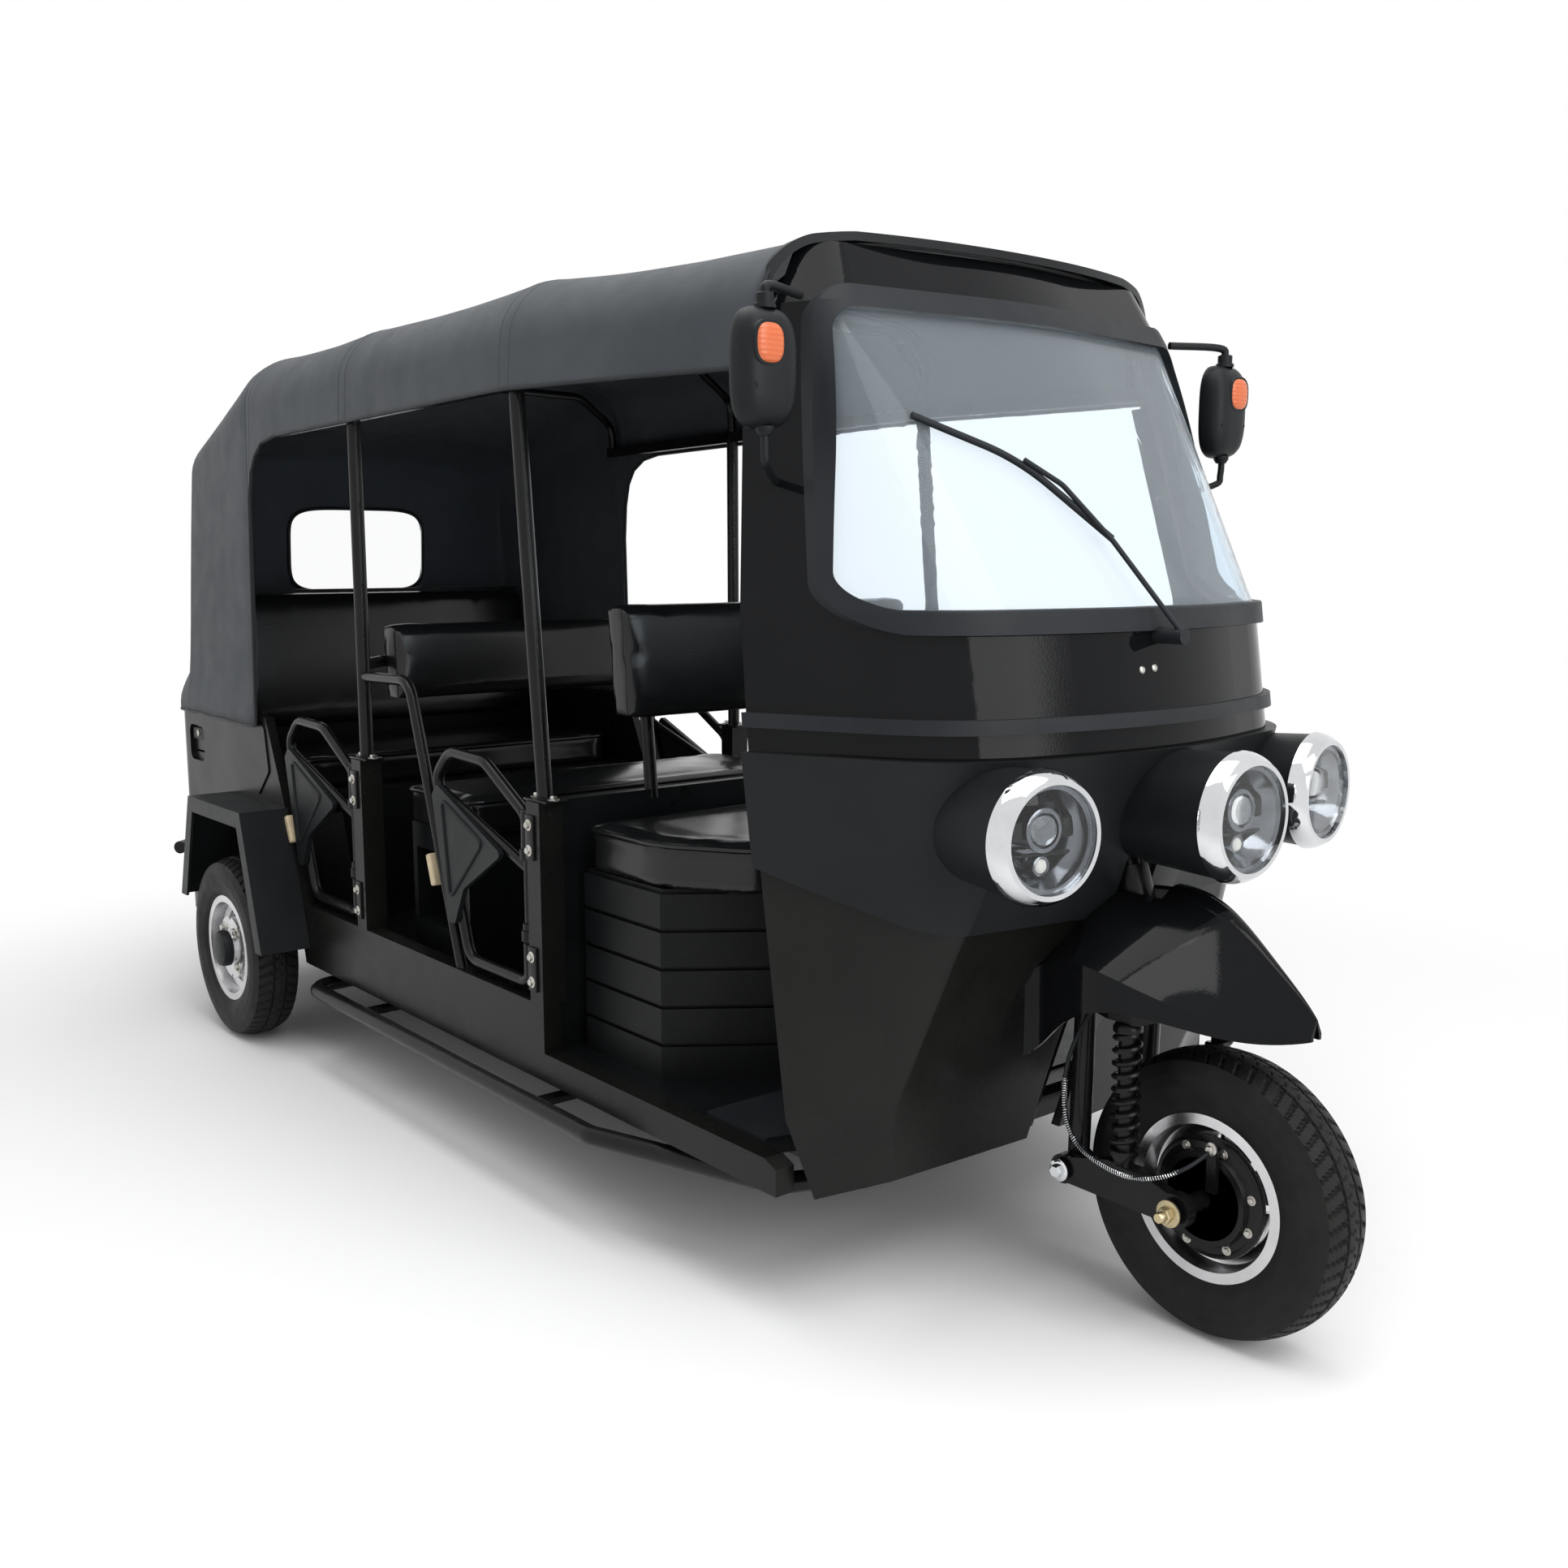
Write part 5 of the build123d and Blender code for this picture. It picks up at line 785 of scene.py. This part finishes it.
# mirrors: domed housings with a turn lens, a knuckle, an arm and a lower stay
mirrorLook = {"ahead": 0.037, "reach": 0.600, "height": 1.590, "halves": (0.056, 0.0925), "square": 3.4,
              "housing": [(0.0054, 0.05), (0.0054, 0.915), (0.0006, 0.93), (0.0, 0.965), (0.003, 0.996), (0.010, 1.0),
                          (0.020, 0.985), (0.030, 0.945), (0.038, 0.875), (0.044, 0.76), (0.0475, 0.6), (0.049, 0.4),
                          (0.0495, 0.15)],
              "lens": [(-0.006, 1.0), (0.002, 1.0), (0.006, 0.93), (0.0085, 0.72), (0.0095, 0.4), (0.0097, 0.1)],
              "lensHalves": (0.027, 0.031), "lensAt": (0.012, 0.034), "lensSquare": 2.8, "lensOut": 0.0455,
              "rim": [(-0.004, 1.02), (0.009, 1.0), (0.0105, 0.97), (0.0105, 0.9)], "rimGrow": 0.004, "rimOut": 0.0395,
              "crease": (0.040, 0.046), "creaseFrom": 200, "creaseSweep": 140, "creaseSteps": 16, "creaseWire": 0.0035,
              "arm": 0.0075, "armOut": 0.02, "armRise": 0.034, "armRoot": 0.485, "stay": 0.0065, "stayDrop": 0.058,
              "knuckle": [(0, 0.018), (0.006, 0.018), (0.008, 0.0145), (0.022, 0.0145), (0.024, 0.011)],
              "stayKnuckle": [(0, 0.015), (0.006, 0.015), (0.014, 0.010)]}


def dished(bag, at, halves, square, profile, sides=56):
    points, faces = [], []
    for ahead, grow in profile:
        for k in range(sides):
            c, s = math.cos(2 * math.pi * k / sides), math.sin(2 * math.pi * k / sides)
            size = grow * (abs(c) ** square + abs(s) ** square) ** (-1 / square)
            points.append(Vector(at) + Vector((ahead, size * c * halves[0], size * s * halves[1])))
    joinRings(faces, len(profile), sides)
    closeEnds(faces, len(profile), sides)
    addTo(bag, points, faces)


housingBag, turnBag, armBag = newBag(), newBag(), newBag()
mirrorX = place["pillar"] + mirrorLook["ahead"]
for side in (-1, 1):
    y, z = side * mirrorLook["reach"], mirrorLook["height"]
    high = z + mirrorLook["halves"][1]
    dished(housingBag, (mirrorX, y, z), mirrorLook["halves"], mirrorLook["square"], mirrorLook["housing"])
    lensY, lensZ = y + side * mirrorLook["lensAt"][0], z + mirrorLook["lensAt"][1]
    square, rimHalves = mirrorLook["lensSquare"], [h + mirrorLook["rimGrow"] for h in mirrorLook["lensHalves"]]
    dished(turnBag, (mirrorX + mirrorLook["lensOut"], lensY, lensZ), mirrorLook["lensHalves"], square,
           mirrorLook["lens"], 40)
    dished(housingBag, (mirrorX + mirrorLook["rimOut"], lensY, lensZ), rimHalves, square, mirrorLook["rim"], 40)
    crease = []
    for k in range(mirrorLook["creaseSteps"] + 1):
        angle = math.radians(mirrorLook["creaseFrom"] + mirrorLook["creaseSweep"] * k / mirrorLook["creaseSteps"])
        crease.append((mirrorX + 0.0445 - 0.004 * math.sin(angle) ** 2, y + mirrorLook["crease"][0] * math.cos(angle),
                       z - 0.010 + mirrorLook["crease"][1] * math.sin(angle)))
    pipe(housingBag, crease, mirrorLook["creaseWire"], 8)
    armX, armZ = mirrorX + mirrorLook["armOut"], high + mirrorLook["armRise"]
    armRun = [(armX, y, high - 0.03), (armX, y, armZ - 0.018), (armX - 0.006, y - side * 0.014, armZ - 0.001),
              (place["pillar"] + 0.005, side * mirrorLook["armRoot"], armZ)]
    pipe(armBag, smoothRun(armRun, 6), mirrorLook["arm"], 14)
    turned(armBag, (armX, y, high - 0.004), (0, 0, 1), mirrorLook["knuckle"], 28)
    low = z - mirrorLook["halves"][1]
    stayZ = low - mirrorLook["stayDrop"]
    stayRun = [(armX, y, z - 0.06), (armX, y, stayZ + 0.026), (armX - 0.010, y - side * 0.012, stayZ + 0.003),
               (mirrorX - 0.064, y - side * 0.097, stayZ - 0.025)]
    pipe(armBag, smoothRun(stayRun, 6), mirrorLook["stay"], 14)
    turned(armBag, (armX, y, low + 0.004), (0, 0, -1), mirrorLook["stayKnuckle"], 24)
housings = newPiece("mirrorHousings", housingBag, "moulded", "body", 50)
arms = newPiece("mirrorArms", armBag, "moulded", "body")
for piece in (housings, arms):
    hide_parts("mirrors")
turnLenses = newPiece("turnLenses", turnBag, "amber", "body", 60)
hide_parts("indicators")
print("mirrors: 2")


# doors: raised ribs on each panel, sleeves and plates at the hinges, latch blocks
doorLook = {"hingeBack": 0.047, "face": 0.5966, "ribs": [(0.150, 0.703), (0.328, 0.776), (0.300, 0.560)], "rib": 0.0042,
            "ribBend": 0.02, "ribProud": 0.0004, "sleeves": ((0.440, 0.516), (0.722, 0.792)), "sleeve": 0.0165,
            "hingePlates": (0.470, 0.742), "plateSize": (0.030, 0.007, 0.092), "plateAhead": 0.008, "plateLine": 0.592,
            "plateBolts": (-0.026, 0.026), "plateBolt": 0.0125, "latchSize": (0.072, 0.020, 0.026),
            "latches": {"mid": ((-0.118, 0.580, 0.606), (0.215, 0, -0.64)),
                        "rear": ((-0.903, 0.590, 0.590), (0.215, 0, -0.46))}}
posts = {"mid": place["midPost"], "rear": place["rearPost"]}
boltBag, latchBag, plateBag = newBag(), newBag(), newBag()
for row, postX in posts.items():
    for side, word in ((-1, "right"), (1, "left")):
        corners = [Vector((postX - doorLook["hingeBack"] - u, z)) for u, z in doorLook["ribs"]]
        loop = []
        for k, corner in enumerate(corners):
            before, after = corners[k - 1] - corner, corners[(k + 1) % 3] - corner
            start = corner + before.normalized() * doorLook["ribBend"]
            end = corner + after.normalized() * doorLook["ribBend"]
            loop += [(1 - t) ** 2 * start + 2 * t * (1 - t) * corner + t * t * end for t in (0, 0.25, 0.5, 0.75, 1)]
        node = row + "_" + word + "_door_panel"
        face = onSurface(node, (corners[0].x, side * 0.7, corners[0].y), (0, -side, 0))[0]
        level = face.y if face else side * doorLook["face"]
        bag = newBag()
        pipe(bag, [(p.x, level + side * doorLook["ribProud"], p.y) for p in loop], doorLook["rib"], 8, True)
        body = row + "_" + word + "_door"
        newPiece(row + word.capitalize() + "DoorRibs", bag, "moulded", body, 60)
        sleeveBag = newBag()
        r = doorLook["sleeve"]
        for low, high in doorLook["sleeves"]:
            turned(sleeveBag, (postX - doorLook["hingeBack"], side * place["doorLine"], low), (0, 0, 1),
                   [(0, r - 0.002), (0.002, r), (high - low - 0.002, r), (high - low, r - 0.002)], 28)
        newPiece(row + word.capitalize() + "DoorSleeves", sleeveBag, "framePaint", body)
        for height in doorLook["hingePlates"]:
            spot = Vector((postX - doorLook["plateAhead"], side * doorLook["plateLine"], height))
            brick(plateBag, spot, doorLook["plateSize"], 0.002)
            for step in doorLook["plateBolts"]:
                bolt(boltBag, spot + Vector((0, side * 0.0035, step)), (0, side, 0), doorLook["plateBolt"])
        (x, y, z), slope = doorLook["latches"][row]
        brick(latchBag, (x, side * y, z), doorLook["latchSize"], 0.004, along=slope, up=(0, side, 0.01))
newPiece("latchBlocks", latchBag, "latchCream", "body")

# post feet, pillar plates and the other small fixings
fixingLook = {"footPlate": (0.088, 0.052, 0.006), "footHeight": 0.817, "hingePlate": (0.034, 0.006, 0.092),
              "footBolts": (-0.032, 0.032), "footBolt": 0.013, "pillarPlateAt": (-0.012, 1.03), "pillarBolt": 0.010,
              "pillarBolts": ((-0.009, -0.03), (0.009, -0.03), (-0.009, 0.03), (0.009, 0.03)),
              "screws": [(-0.066, 1.116), (-0.035, 1.118)],
              "screw": [(-0.003, 0.0065), (0.001, 0.0065), (0.003, 0.0045), (0.0035, 0.002)]}
for postX in posts.values():
    for side in (-1, 1):
        spot = (postX, side * place["postLine"], fixingLook["footHeight"])
        brick(plateBag, spot, fixingLook["footPlate"], 0.002)
        for step in fixingLook["footBolts"]:
            bolt(boltBag, (postX + step, spot[1], spot[2] + 0.003), (0, 0, 1), fixingLook["footBolt"])
for side in (-1, 1):
    x, z = place["pillar"] + fixingLook["pillarPlateAt"][0], fixingLook["pillarPlateAt"][1]
    spot = onSurface("windscreen_surround", (x, side * 0.8, z), (0, -side, 0))[0]
    if spot:
        brick(plateBag, spot, fixingLook["hingePlate"], 0.002)
        for dx, dz in fixingLook["pillarBolts"]:
            bolt(boltBag, spot + Vector((dx, side * 0.003, dz)), (0, side, 0), fixingLook["pillarBolt"])
for y, z in fixingLook["screws"]:
    spot, facing = onSurface("windscreen_surround", (2.2, y, z), (-1, 0, 0))
    if spot:
        turned(boltBag, spot, facing, fixingLook["screw"], 16)
newPiece("fixingPlates", plateBag, "framePaint", "body")
newPiece("fixingBolts", boltBag, "zinc", "body")

# rear hubs and wheel nuts, on the wheels
hubLook = {"cap": [(-0.004, 0.049), (0.012, 0.049), (0.020, 0.045), (0.024, 0.034), (0.025, 0.012)],
           "seat": 0.012, "line": 0.69, "nuts": 4, "nutCircle": 0.066, "nut": 0.016, "outside": 0.95}
for word, side in (("Right", -1), ("Left", 1)):
    low = word.lower()
    rimName = "rear_" + low + "_rim"
    hub, outside = nodeMiddle(rimName), side * hubLook["outside"]
    spot = onSurface(rimName, (hub.x + hubLook["seat"], outside, hub.z + hubLook["seat"]), (0, -side, 0))[0]
    capBag, wheelNutBag = newBag(), newBag()
    capY = spot.y if spot else side * hubLook["line"]
    turned(capBag, (hub.x, capY, hub.z), (0, side, 0), hubLook["cap"], 40)
    for k in range(hubLook["nuts"]):
        angle = math.radians(45 + 90 * k)
        x, z = hub.x + hubLook["nutCircle"] * math.cos(angle), hub.z + hubLook["nutCircle"] * math.sin(angle)
        seat = onSurface(rimName, (x, outside, z), (0, -side, 0))[0]
        if seat:
            bolt(wheelNutBag, seat, (0, side, 0), hubLook["nut"])
    newPiece("rear" + word + "HubCap", capBag, "moulded", "rear_" + low + "_wheel")
    newPiece("rear" + word + "WheelNuts", wheelNutBag, "zinc", "rear_" + low + "_wheel")

# pull handles in the recesses of the rear quarters
handleLook = {"ahead": 0.185, "line": 0.583, "height": 0.755, "grip": (0.092, 0.012, 0.036),
              "gripEdge": 0.004, "lip": (0.080, 0.006, 0.010), "lipEdge": 0.002, "lipInset": 0.004,
              "offset": 0.026, "lockAt": (0.005, 0.028),
              "lock": [(0, 0.0095), (0.003, 0.0095), (0.004, 0.007)]}
handleBag, lockBag = newBag(), newBag()
for side in (-1, 1):
    at = Vector((place["rearEnd"] + handleLook["ahead"], side * handleLook["line"], handleLook["height"]))
    brick(handleBag, at + Vector((0, 0, handleLook["offset"])), handleLook["grip"], handleLook["gripEdge"])
    brick(handleBag, at + Vector((0, -side * handleLook["lipInset"], -handleLook["offset"])), handleLook["lip"],
          handleLook["lipEdge"])
    out, rise = handleLook["lockAt"]
    turned(lockBag, at + Vector((0, side * out, rise)), (0, side, 0), handleLook["lock"], 20)
newPiece("quarterHandles", handleBag, "moulded", "body")
newPiece("quarterLocks", lockBag, "zinc", "body")

# beads over the rear corner joints, and frames round the tail lamps
trimLook = {"at": 0.0274, "across": 0.5626, "foot": 0.242, "head": 0.852, "bead": 0.0046, "frame": 0.009,
            "frameDeep": 0.020, "lampWide": 0.09, "overlap": 0.004}
trimBag = newBag()
lampLow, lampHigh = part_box("tail_lamps")
for side in (-1, 1):
    beadX, beadY = place["rearEnd"] + trimLook["at"], side * trimLook["across"]
    pipe(trimBag, [(beadX, beadY, trimLook["foot"]), (beadX, beadY, trimLook["head"])], trimLook["bead"], 12)
    wide, edge, deep = trimLook["lampWide"], trimLook["frame"], trimLook["frameDeep"]
    centreY, centreZ = side * (lampHigh[1] - wide / 2), (lampLow[2] + lampHigh[2]) / 2
    tall, deepX = lampHigh[2] - lampLow[2], lampHigh[0] - deep / 2
    for step in (-1, 1):
        brick(trimBag, (deepX, centreY + step * (wide + edge) / 2, centreZ), (deep, edge, tall + 2 * edge), 0.002)
        brick(trimBag, (deepX, centreY, centreZ + step * (tall + edge) / 2),
              (deep, wide + trimLook["overlap"], edge), 0.002)
newPiece("rearTrims", trimBag, "moulded", "body")
print("doors and fixings: done")


# seats: crowned pads in the places of their plain solids, swelled by a short cloth run
seats = {
    "driverCushion": {"corners": [(0.3765, -0.52), (0.6315, -0.52), (0.8215, -0.40), (0.8215, 0.40), (0.6315, 0.52),
                                  (0.3765, 0.52)], "foot": 0.675, "top": 0.77, "crown": 0.018, "round": 0.035},
    "middleCushion": {"corners": [(-0.4685, -0.5), (-0.1285, -0.5), (-0.1285, 0.5), (-0.4685, 0.5)], "foot": 0.66,
                      "top": 0.75, "crown": 0.016, "round": 0.035},
    "rearCushion": {"corners": [(-1.5135, -0.52), (-1.0535, -0.52), (-1.0535, 0.52), (-1.5135, 0.52)], "foot": 0.66,
                    "top": 0.75, "crown": 0.016, "round": 0.035},
}
backs = {
    "driverBack": {"foot": 0.965, "head": 1.21, "back": 0.3265, "lean": 0.025, "half": 0.405},
    "middleBack": {"foot": 0.945, "head": 1.14, "back": -0.5685, "lean": 0.02, "half": 0.48},
    "rearBack": {"foot": 0.78, "head": 1.195, "back": -1.5835, "lean": 0.06, "half": 0.51},
}
padLook = {"depth": 0.08, "rows": 26, "columns": 14, "voxel": 0.011, "pressure": 4.0, "frames": 14, "cap": 0.006,
           "quality": 4, "piping": 0.0042, "pipingAt": 0.9, "inset": 0.975, "fill": 0.7,
           "levels": [(0.004, 0.93), (0.0, 0.985), (0.12, 1.0), (0.5, 0.994), (0.78, 1.0), (0.9, 0.992), (0.97, 0.965),
                      (1.0, 0.93)],
           "crownSteps": (0.8, 0.62, 0.42, 0.2), "endSquare": 14, "faceSquare": 0.2, "edgeSquare": 0.24}


def loopAround(corners, bend, perCorner):
    points = []
    count = len(corners)
    for i, corner in enumerate(corners):
        before = Vector(corners[i - 1]) - Vector(corner)
        after = Vector(corners[(i + 1) % count]) - Vector(corner)
        reach = min(bend, before.length * 0.45, after.length * 0.45)
        start = Vector(corner) + before.normalized() * reach
        end = Vector(corner) + after.normalized() * reach
        for k in range(perCorner + 1):
            t = k / perCorner
            points.append((1 - t) ** 2 * start + 2 * t * (1 - t) * Vector(corner) + t * t * end)
    dense = []
    for i, p in enumerate(points):
        q = points[(i + 1) % len(points)]
        steps = max(1, int((q - p).length / 0.03))
        dense += [p.lerp(q, k / steps) for k in range(steps)]
    return dense


def cushionBag(look):
    outline = loopAround(look["corners"], look["round"] * 1.6, 6)
    centre = sum(outline, Vector((0, 0))) / len(outline)
    height = look["top"] - look["foot"]
    levels = padLook["levels"]
    bag = newBag()
    points, faces = bag["points"], bag["faces"]
    count = len(outline)
    for level, grow in levels:
        for p in outline:
            q = centre + (p - centre) * grow * padLook["inset"]
            points.append(Vector((q.x, q.y, look["foot"] + height * level * 0.98)))
    joinRings(faces, len(levels), count)
    ring = len(points) - count
    for step in padLook["crownSteps"]:
        start = len(points)
        for p in outline:
            q = centre + (p - centre) * step * 0.93
            lift = look["crown"] * (1 - step ** 2.2)
            points.append(Vector((q.x, q.y, look["top"] - 0.004 - look["crown"] * 0.6 + lift)))
        for k in range(count):
            n = (k + 1) % count
            faces.append((ring + k, ring + n, start + n, start + k))
        ring = start
    points.append(Vector((centre.x, centre.y, look["top"] - 0.004 + look["crown"] * 0.4)))
    tip = len(points) - 1
    for k in range(count):
        faces.append((ring + k, ring + (k + 1) % count, tip))
    faces.append(tuple(range(count - 1, -1, -1)))
    welt = [centre + (p - centre) * 0.992 * padLook["inset"] for p in outline]
    return bag, [Vector((p.x, p.y, look["foot"] + height * padLook["pipingAt"])) for p in welt]


def backBag(look):
    rows, depth = padLook["rows"], padLook["depth"]
    ringSize = 2 * padLook["columns"]
    bag = newBag()
    for r in range(rows + 1):
        y = -1 + 2 * r / rows
        edge = 1 - abs(y) ** padLook["endSquare"]
        for c in range(ringSize):
            turn = 2 * math.pi * c / ringSize
            high = math.copysign(abs(math.sin(turn)) ** padLook["faceSquare"], math.sin(turn))
            thick = math.copysign(abs(math.cos(turn)) ** padLook["edgeSquare"], math.cos(turn))
            t = 0.5 + 0.5 * high * (0.9 + 0.08 * edge)
            z = look["foot"] + (look["head"] - look["foot"]) * t
            middle = look["back"] + depth / 2 - look["lean"] * t
            shrink = 0.78 + 0.16 * edge
            bag["points"].append(Vector((middle + thick * depth * 0.5 * shrink, look["half"] * y * 0.99, z)))
    joinRings(bag["faces"], rows + 1, ringSize)
    closeEnds(bag["faces"], rows + 1, ringSize)
    return bag


def swelled(name, bag):
    blank = bpy.data.objects.new(name + "Blank", meshFrom(name + "Blank", bag))
    scene = bpy.context.scene
    scene.collection.objects.link(blank)
    fine = blank.modifiers.new("fine", "REMESH")
    fine.mode = "VOXEL"
    fine.voxel_size = padLook["voxel"]
    mesh = bpy.data.meshes.new_from_object(blank.evaluated_get(bpy.context.evaluated_depsgraph_get()))
    blank.modifiers.clear()
    blank.data = mesh
    start = [v.co.copy() for v in mesh.vertices]
    run = blank.modifiers.new("swell", "CLOTH")
    run.settings.quality = padLook["quality"]
    run.settings.use_pressure = True
    run.settings.uniform_pressure_force = padLook["pressure"]
    run.settings.effector_weights.gravity = 0
    run.point_cache.frame_start, run.point_cache.frame_end = 1, padLook["frames"]
    for step in range(1, padLook["frames"] + 1):
        scene.frame_set(step)
    swollen = blank.evaluated_get(bpy.context.evaluated_depsgraph_get()).to_mesh()
    points = []
    for before, vertex in zip(start, swollen.vertices):
        move = vertex.co - before
        if move.length > padLook["cap"]:
            move = move.normalized() * padLook["cap"]
        points.append(before + move)
    faces = [tuple(face.vertices) for face in swollen.polygons]
    bpy.data.objects.remove(blank)
    scene.frame_set(1)
    return {"points": points, "faces": faces}


weltBag = newBag()
for name, look in seats.items():
    bag, welt = cushionBag(look)
    pipe(weltBag, welt, padLook["piping"], 8, True)
    piece = newPiece(name, swelled(name, bag), "seatVinyl", "body", 60)
    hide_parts("seat_cushions")
for name, look in backs.items():
    piece = newPiece(name, swelled(name, backBag(look)), "seatVinyl", "body", 60)
    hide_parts("seat_backrests")
newPiece("seatWelts", weltBag, "seatVinyl", "body")
print("seats:", len(seats) + len(backs), "padded pieces")

# floor, light and camera
stageLook = {"floor": (0.93, 0.93, 0.93), "size": 40, "sky": 0.64, "fadeFrom": 1.6, "fadeTo": 3.3}
floorBag = newBag()
reach = stageLook["size"]
addTo(floorBag, [(-reach, -reach, 0), (reach, -reach, 0), (reach, reach, 0), (-reach, reach, 0)], [(0, 1, 2, 3)])
floor = bpy.data.objects.new("studioFloor", meshFrom("studioFloor", floorBag))
bpy.context.scene.collection.objects.link(floor)
floorFinish, floorTree, floorShader = startFinish("studioFloor")
floorShader.inputs["Roughness"].default_value = 0.9
floorShader.inputs["IOR"].default_value = 1.1
floorShader.inputs["Base Color"].default_value = (*stageLook["floor"], 1)


def backdropRays(tree):
    rays = addNode(tree, "ShaderNodeLightPath")
    seen = addNode(tree, "ShaderNodeMath", operation="MAXIMUM")
    seenToo = addNode(tree, "ShaderNodeMath", operation="MAXIMUM")
    tree.links.new(rays.outputs["Is Camera Ray"], seen.inputs[0])
    tree.links.new(rays.outputs["Is Glossy Ray"], seen.inputs[1])
    tree.links.new(seen.outputs[0], seenToo.inputs[0])
    tree.links.new(rays.outputs["Is Transmission Ray"], seenToo.inputs[1])
    return seenToo.outputs[0]


distance = addNode(floorTree, "ShaderNodeVectorMath", operation="LENGTH")
floorTree.links.new(objectSpace(floorTree), distance.inputs[0])
fade = addNode(floorTree, "ShaderNodeMapRange", interpolation_type="SMOOTHSTEP")
fade.inputs["From Min"].default_value = stageLook["fadeFrom"]
fade.inputs["From Max"].default_value = stageLook["fadeTo"]
floorTree.links.new(distance.outputs["Value"], fade.inputs["Value"])
share = addNode(floorTree, "ShaderNodeMath", operation="MULTIPLY")
floorTree.links.new(fade.outputs["Result"], share.inputs[0])
floorTree.links.new(backdropRays(floorTree), share.inputs[1])
pale = addNode(floorTree, "ShaderNodeEmission", Strength=1.0)
blendOut = addNode(floorTree, "ShaderNodeMixShader")
floorTree.links.new(share.outputs[0], blendOut.inputs[0])
floorTree.links.new(floorShader.outputs[0], blendOut.inputs[1])
floorTree.links.new(pale.outputs[0], blendOut.inputs[2])
floorTree.links.new(blendOut.outputs[0], floorTree.nodes["Material Output"].inputs["Surface"])
floor.data.materials.append(floorFinish)

world = bpy.data.worlds.new("studio")
bpy.context.scene.world = world
world.use_nodes = True
skyTree = world.node_tree
sky = skyTree.nodes["Background"]
sky.inputs["Color"].default_value = (1, 1, 1, 1)
level = addNode(skyTree, "ShaderNodeMapRange")
level.inputs["To Min"].default_value = stageLook["sky"]
level.inputs["To Max"].default_value = 1.0
skyTree.links.new(backdropRays(skyTree), level.inputs["Value"])
skyTree.links.new(level.outputs["Result"], sky.inputs["Strength"])

lamps = {
    "overheadBox": {"at": (0.6, -0.6, 4.6), "aim": (0.4, -0.2, 0.6), "size": (4.4, 3.4), "power": 115},
    "frontBox": {"at": (5.2, -0.1, 1.95), "aim": (1.4, -0.2, 1.1), "size": (3.2, 2.0), "power": 62},
    "noseBox": {"at": (4.0, -0.4, 4.0), "aim": (1.5, -0.1, 0.6), "size": (2.6, 1.8), "power": 60},
}
for name, look in lamps.items():
    lamp = bpy.data.lights.new(name, "AREA")
    lamp.shape = "RECTANGLE"
    lamp.size, lamp.size_y = look["size"]
    lamp.energy = look["power"]
    holder = bpy.data.objects.new(name, lamp)
    bpy.context.scene.collection.objects.link(holder)
    holder.location = look["at"]
    holder.rotation_euler = (Vector(look["aim"]) - Vector(look["at"])).to_track_quat("-Z", "Y").to_euler()

viewpoint = {"at": (2.9915, -2.144, 1.308), "azimuth": 50.32, "down": 8.54, "lens": 35.44, "sensor": 36}
cameraData = bpy.data.cameras.new("photoView")
cameraData.lens = viewpoint["lens"]
cameraData.sensor_width = viewpoint["sensor"]
camera = bpy.data.objects.new("photoView", cameraData)
bpy.context.scene.collection.objects.link(camera)
camera.location = viewpoint["at"]
around, down = math.radians(viewpoint["azimuth"]), math.radians(viewpoint["down"])
gaze = Vector((-math.sin(around) * math.cos(down), math.cos(around) * math.cos(down), -math.sin(down)))
camera.rotation_euler = gaze.to_track_quat("-Z", "Y").to_euler()
bpy.context.scene.camera = camera
bpy.context.scene.view_settings.view_transform = "Standard"
print("stage ready")
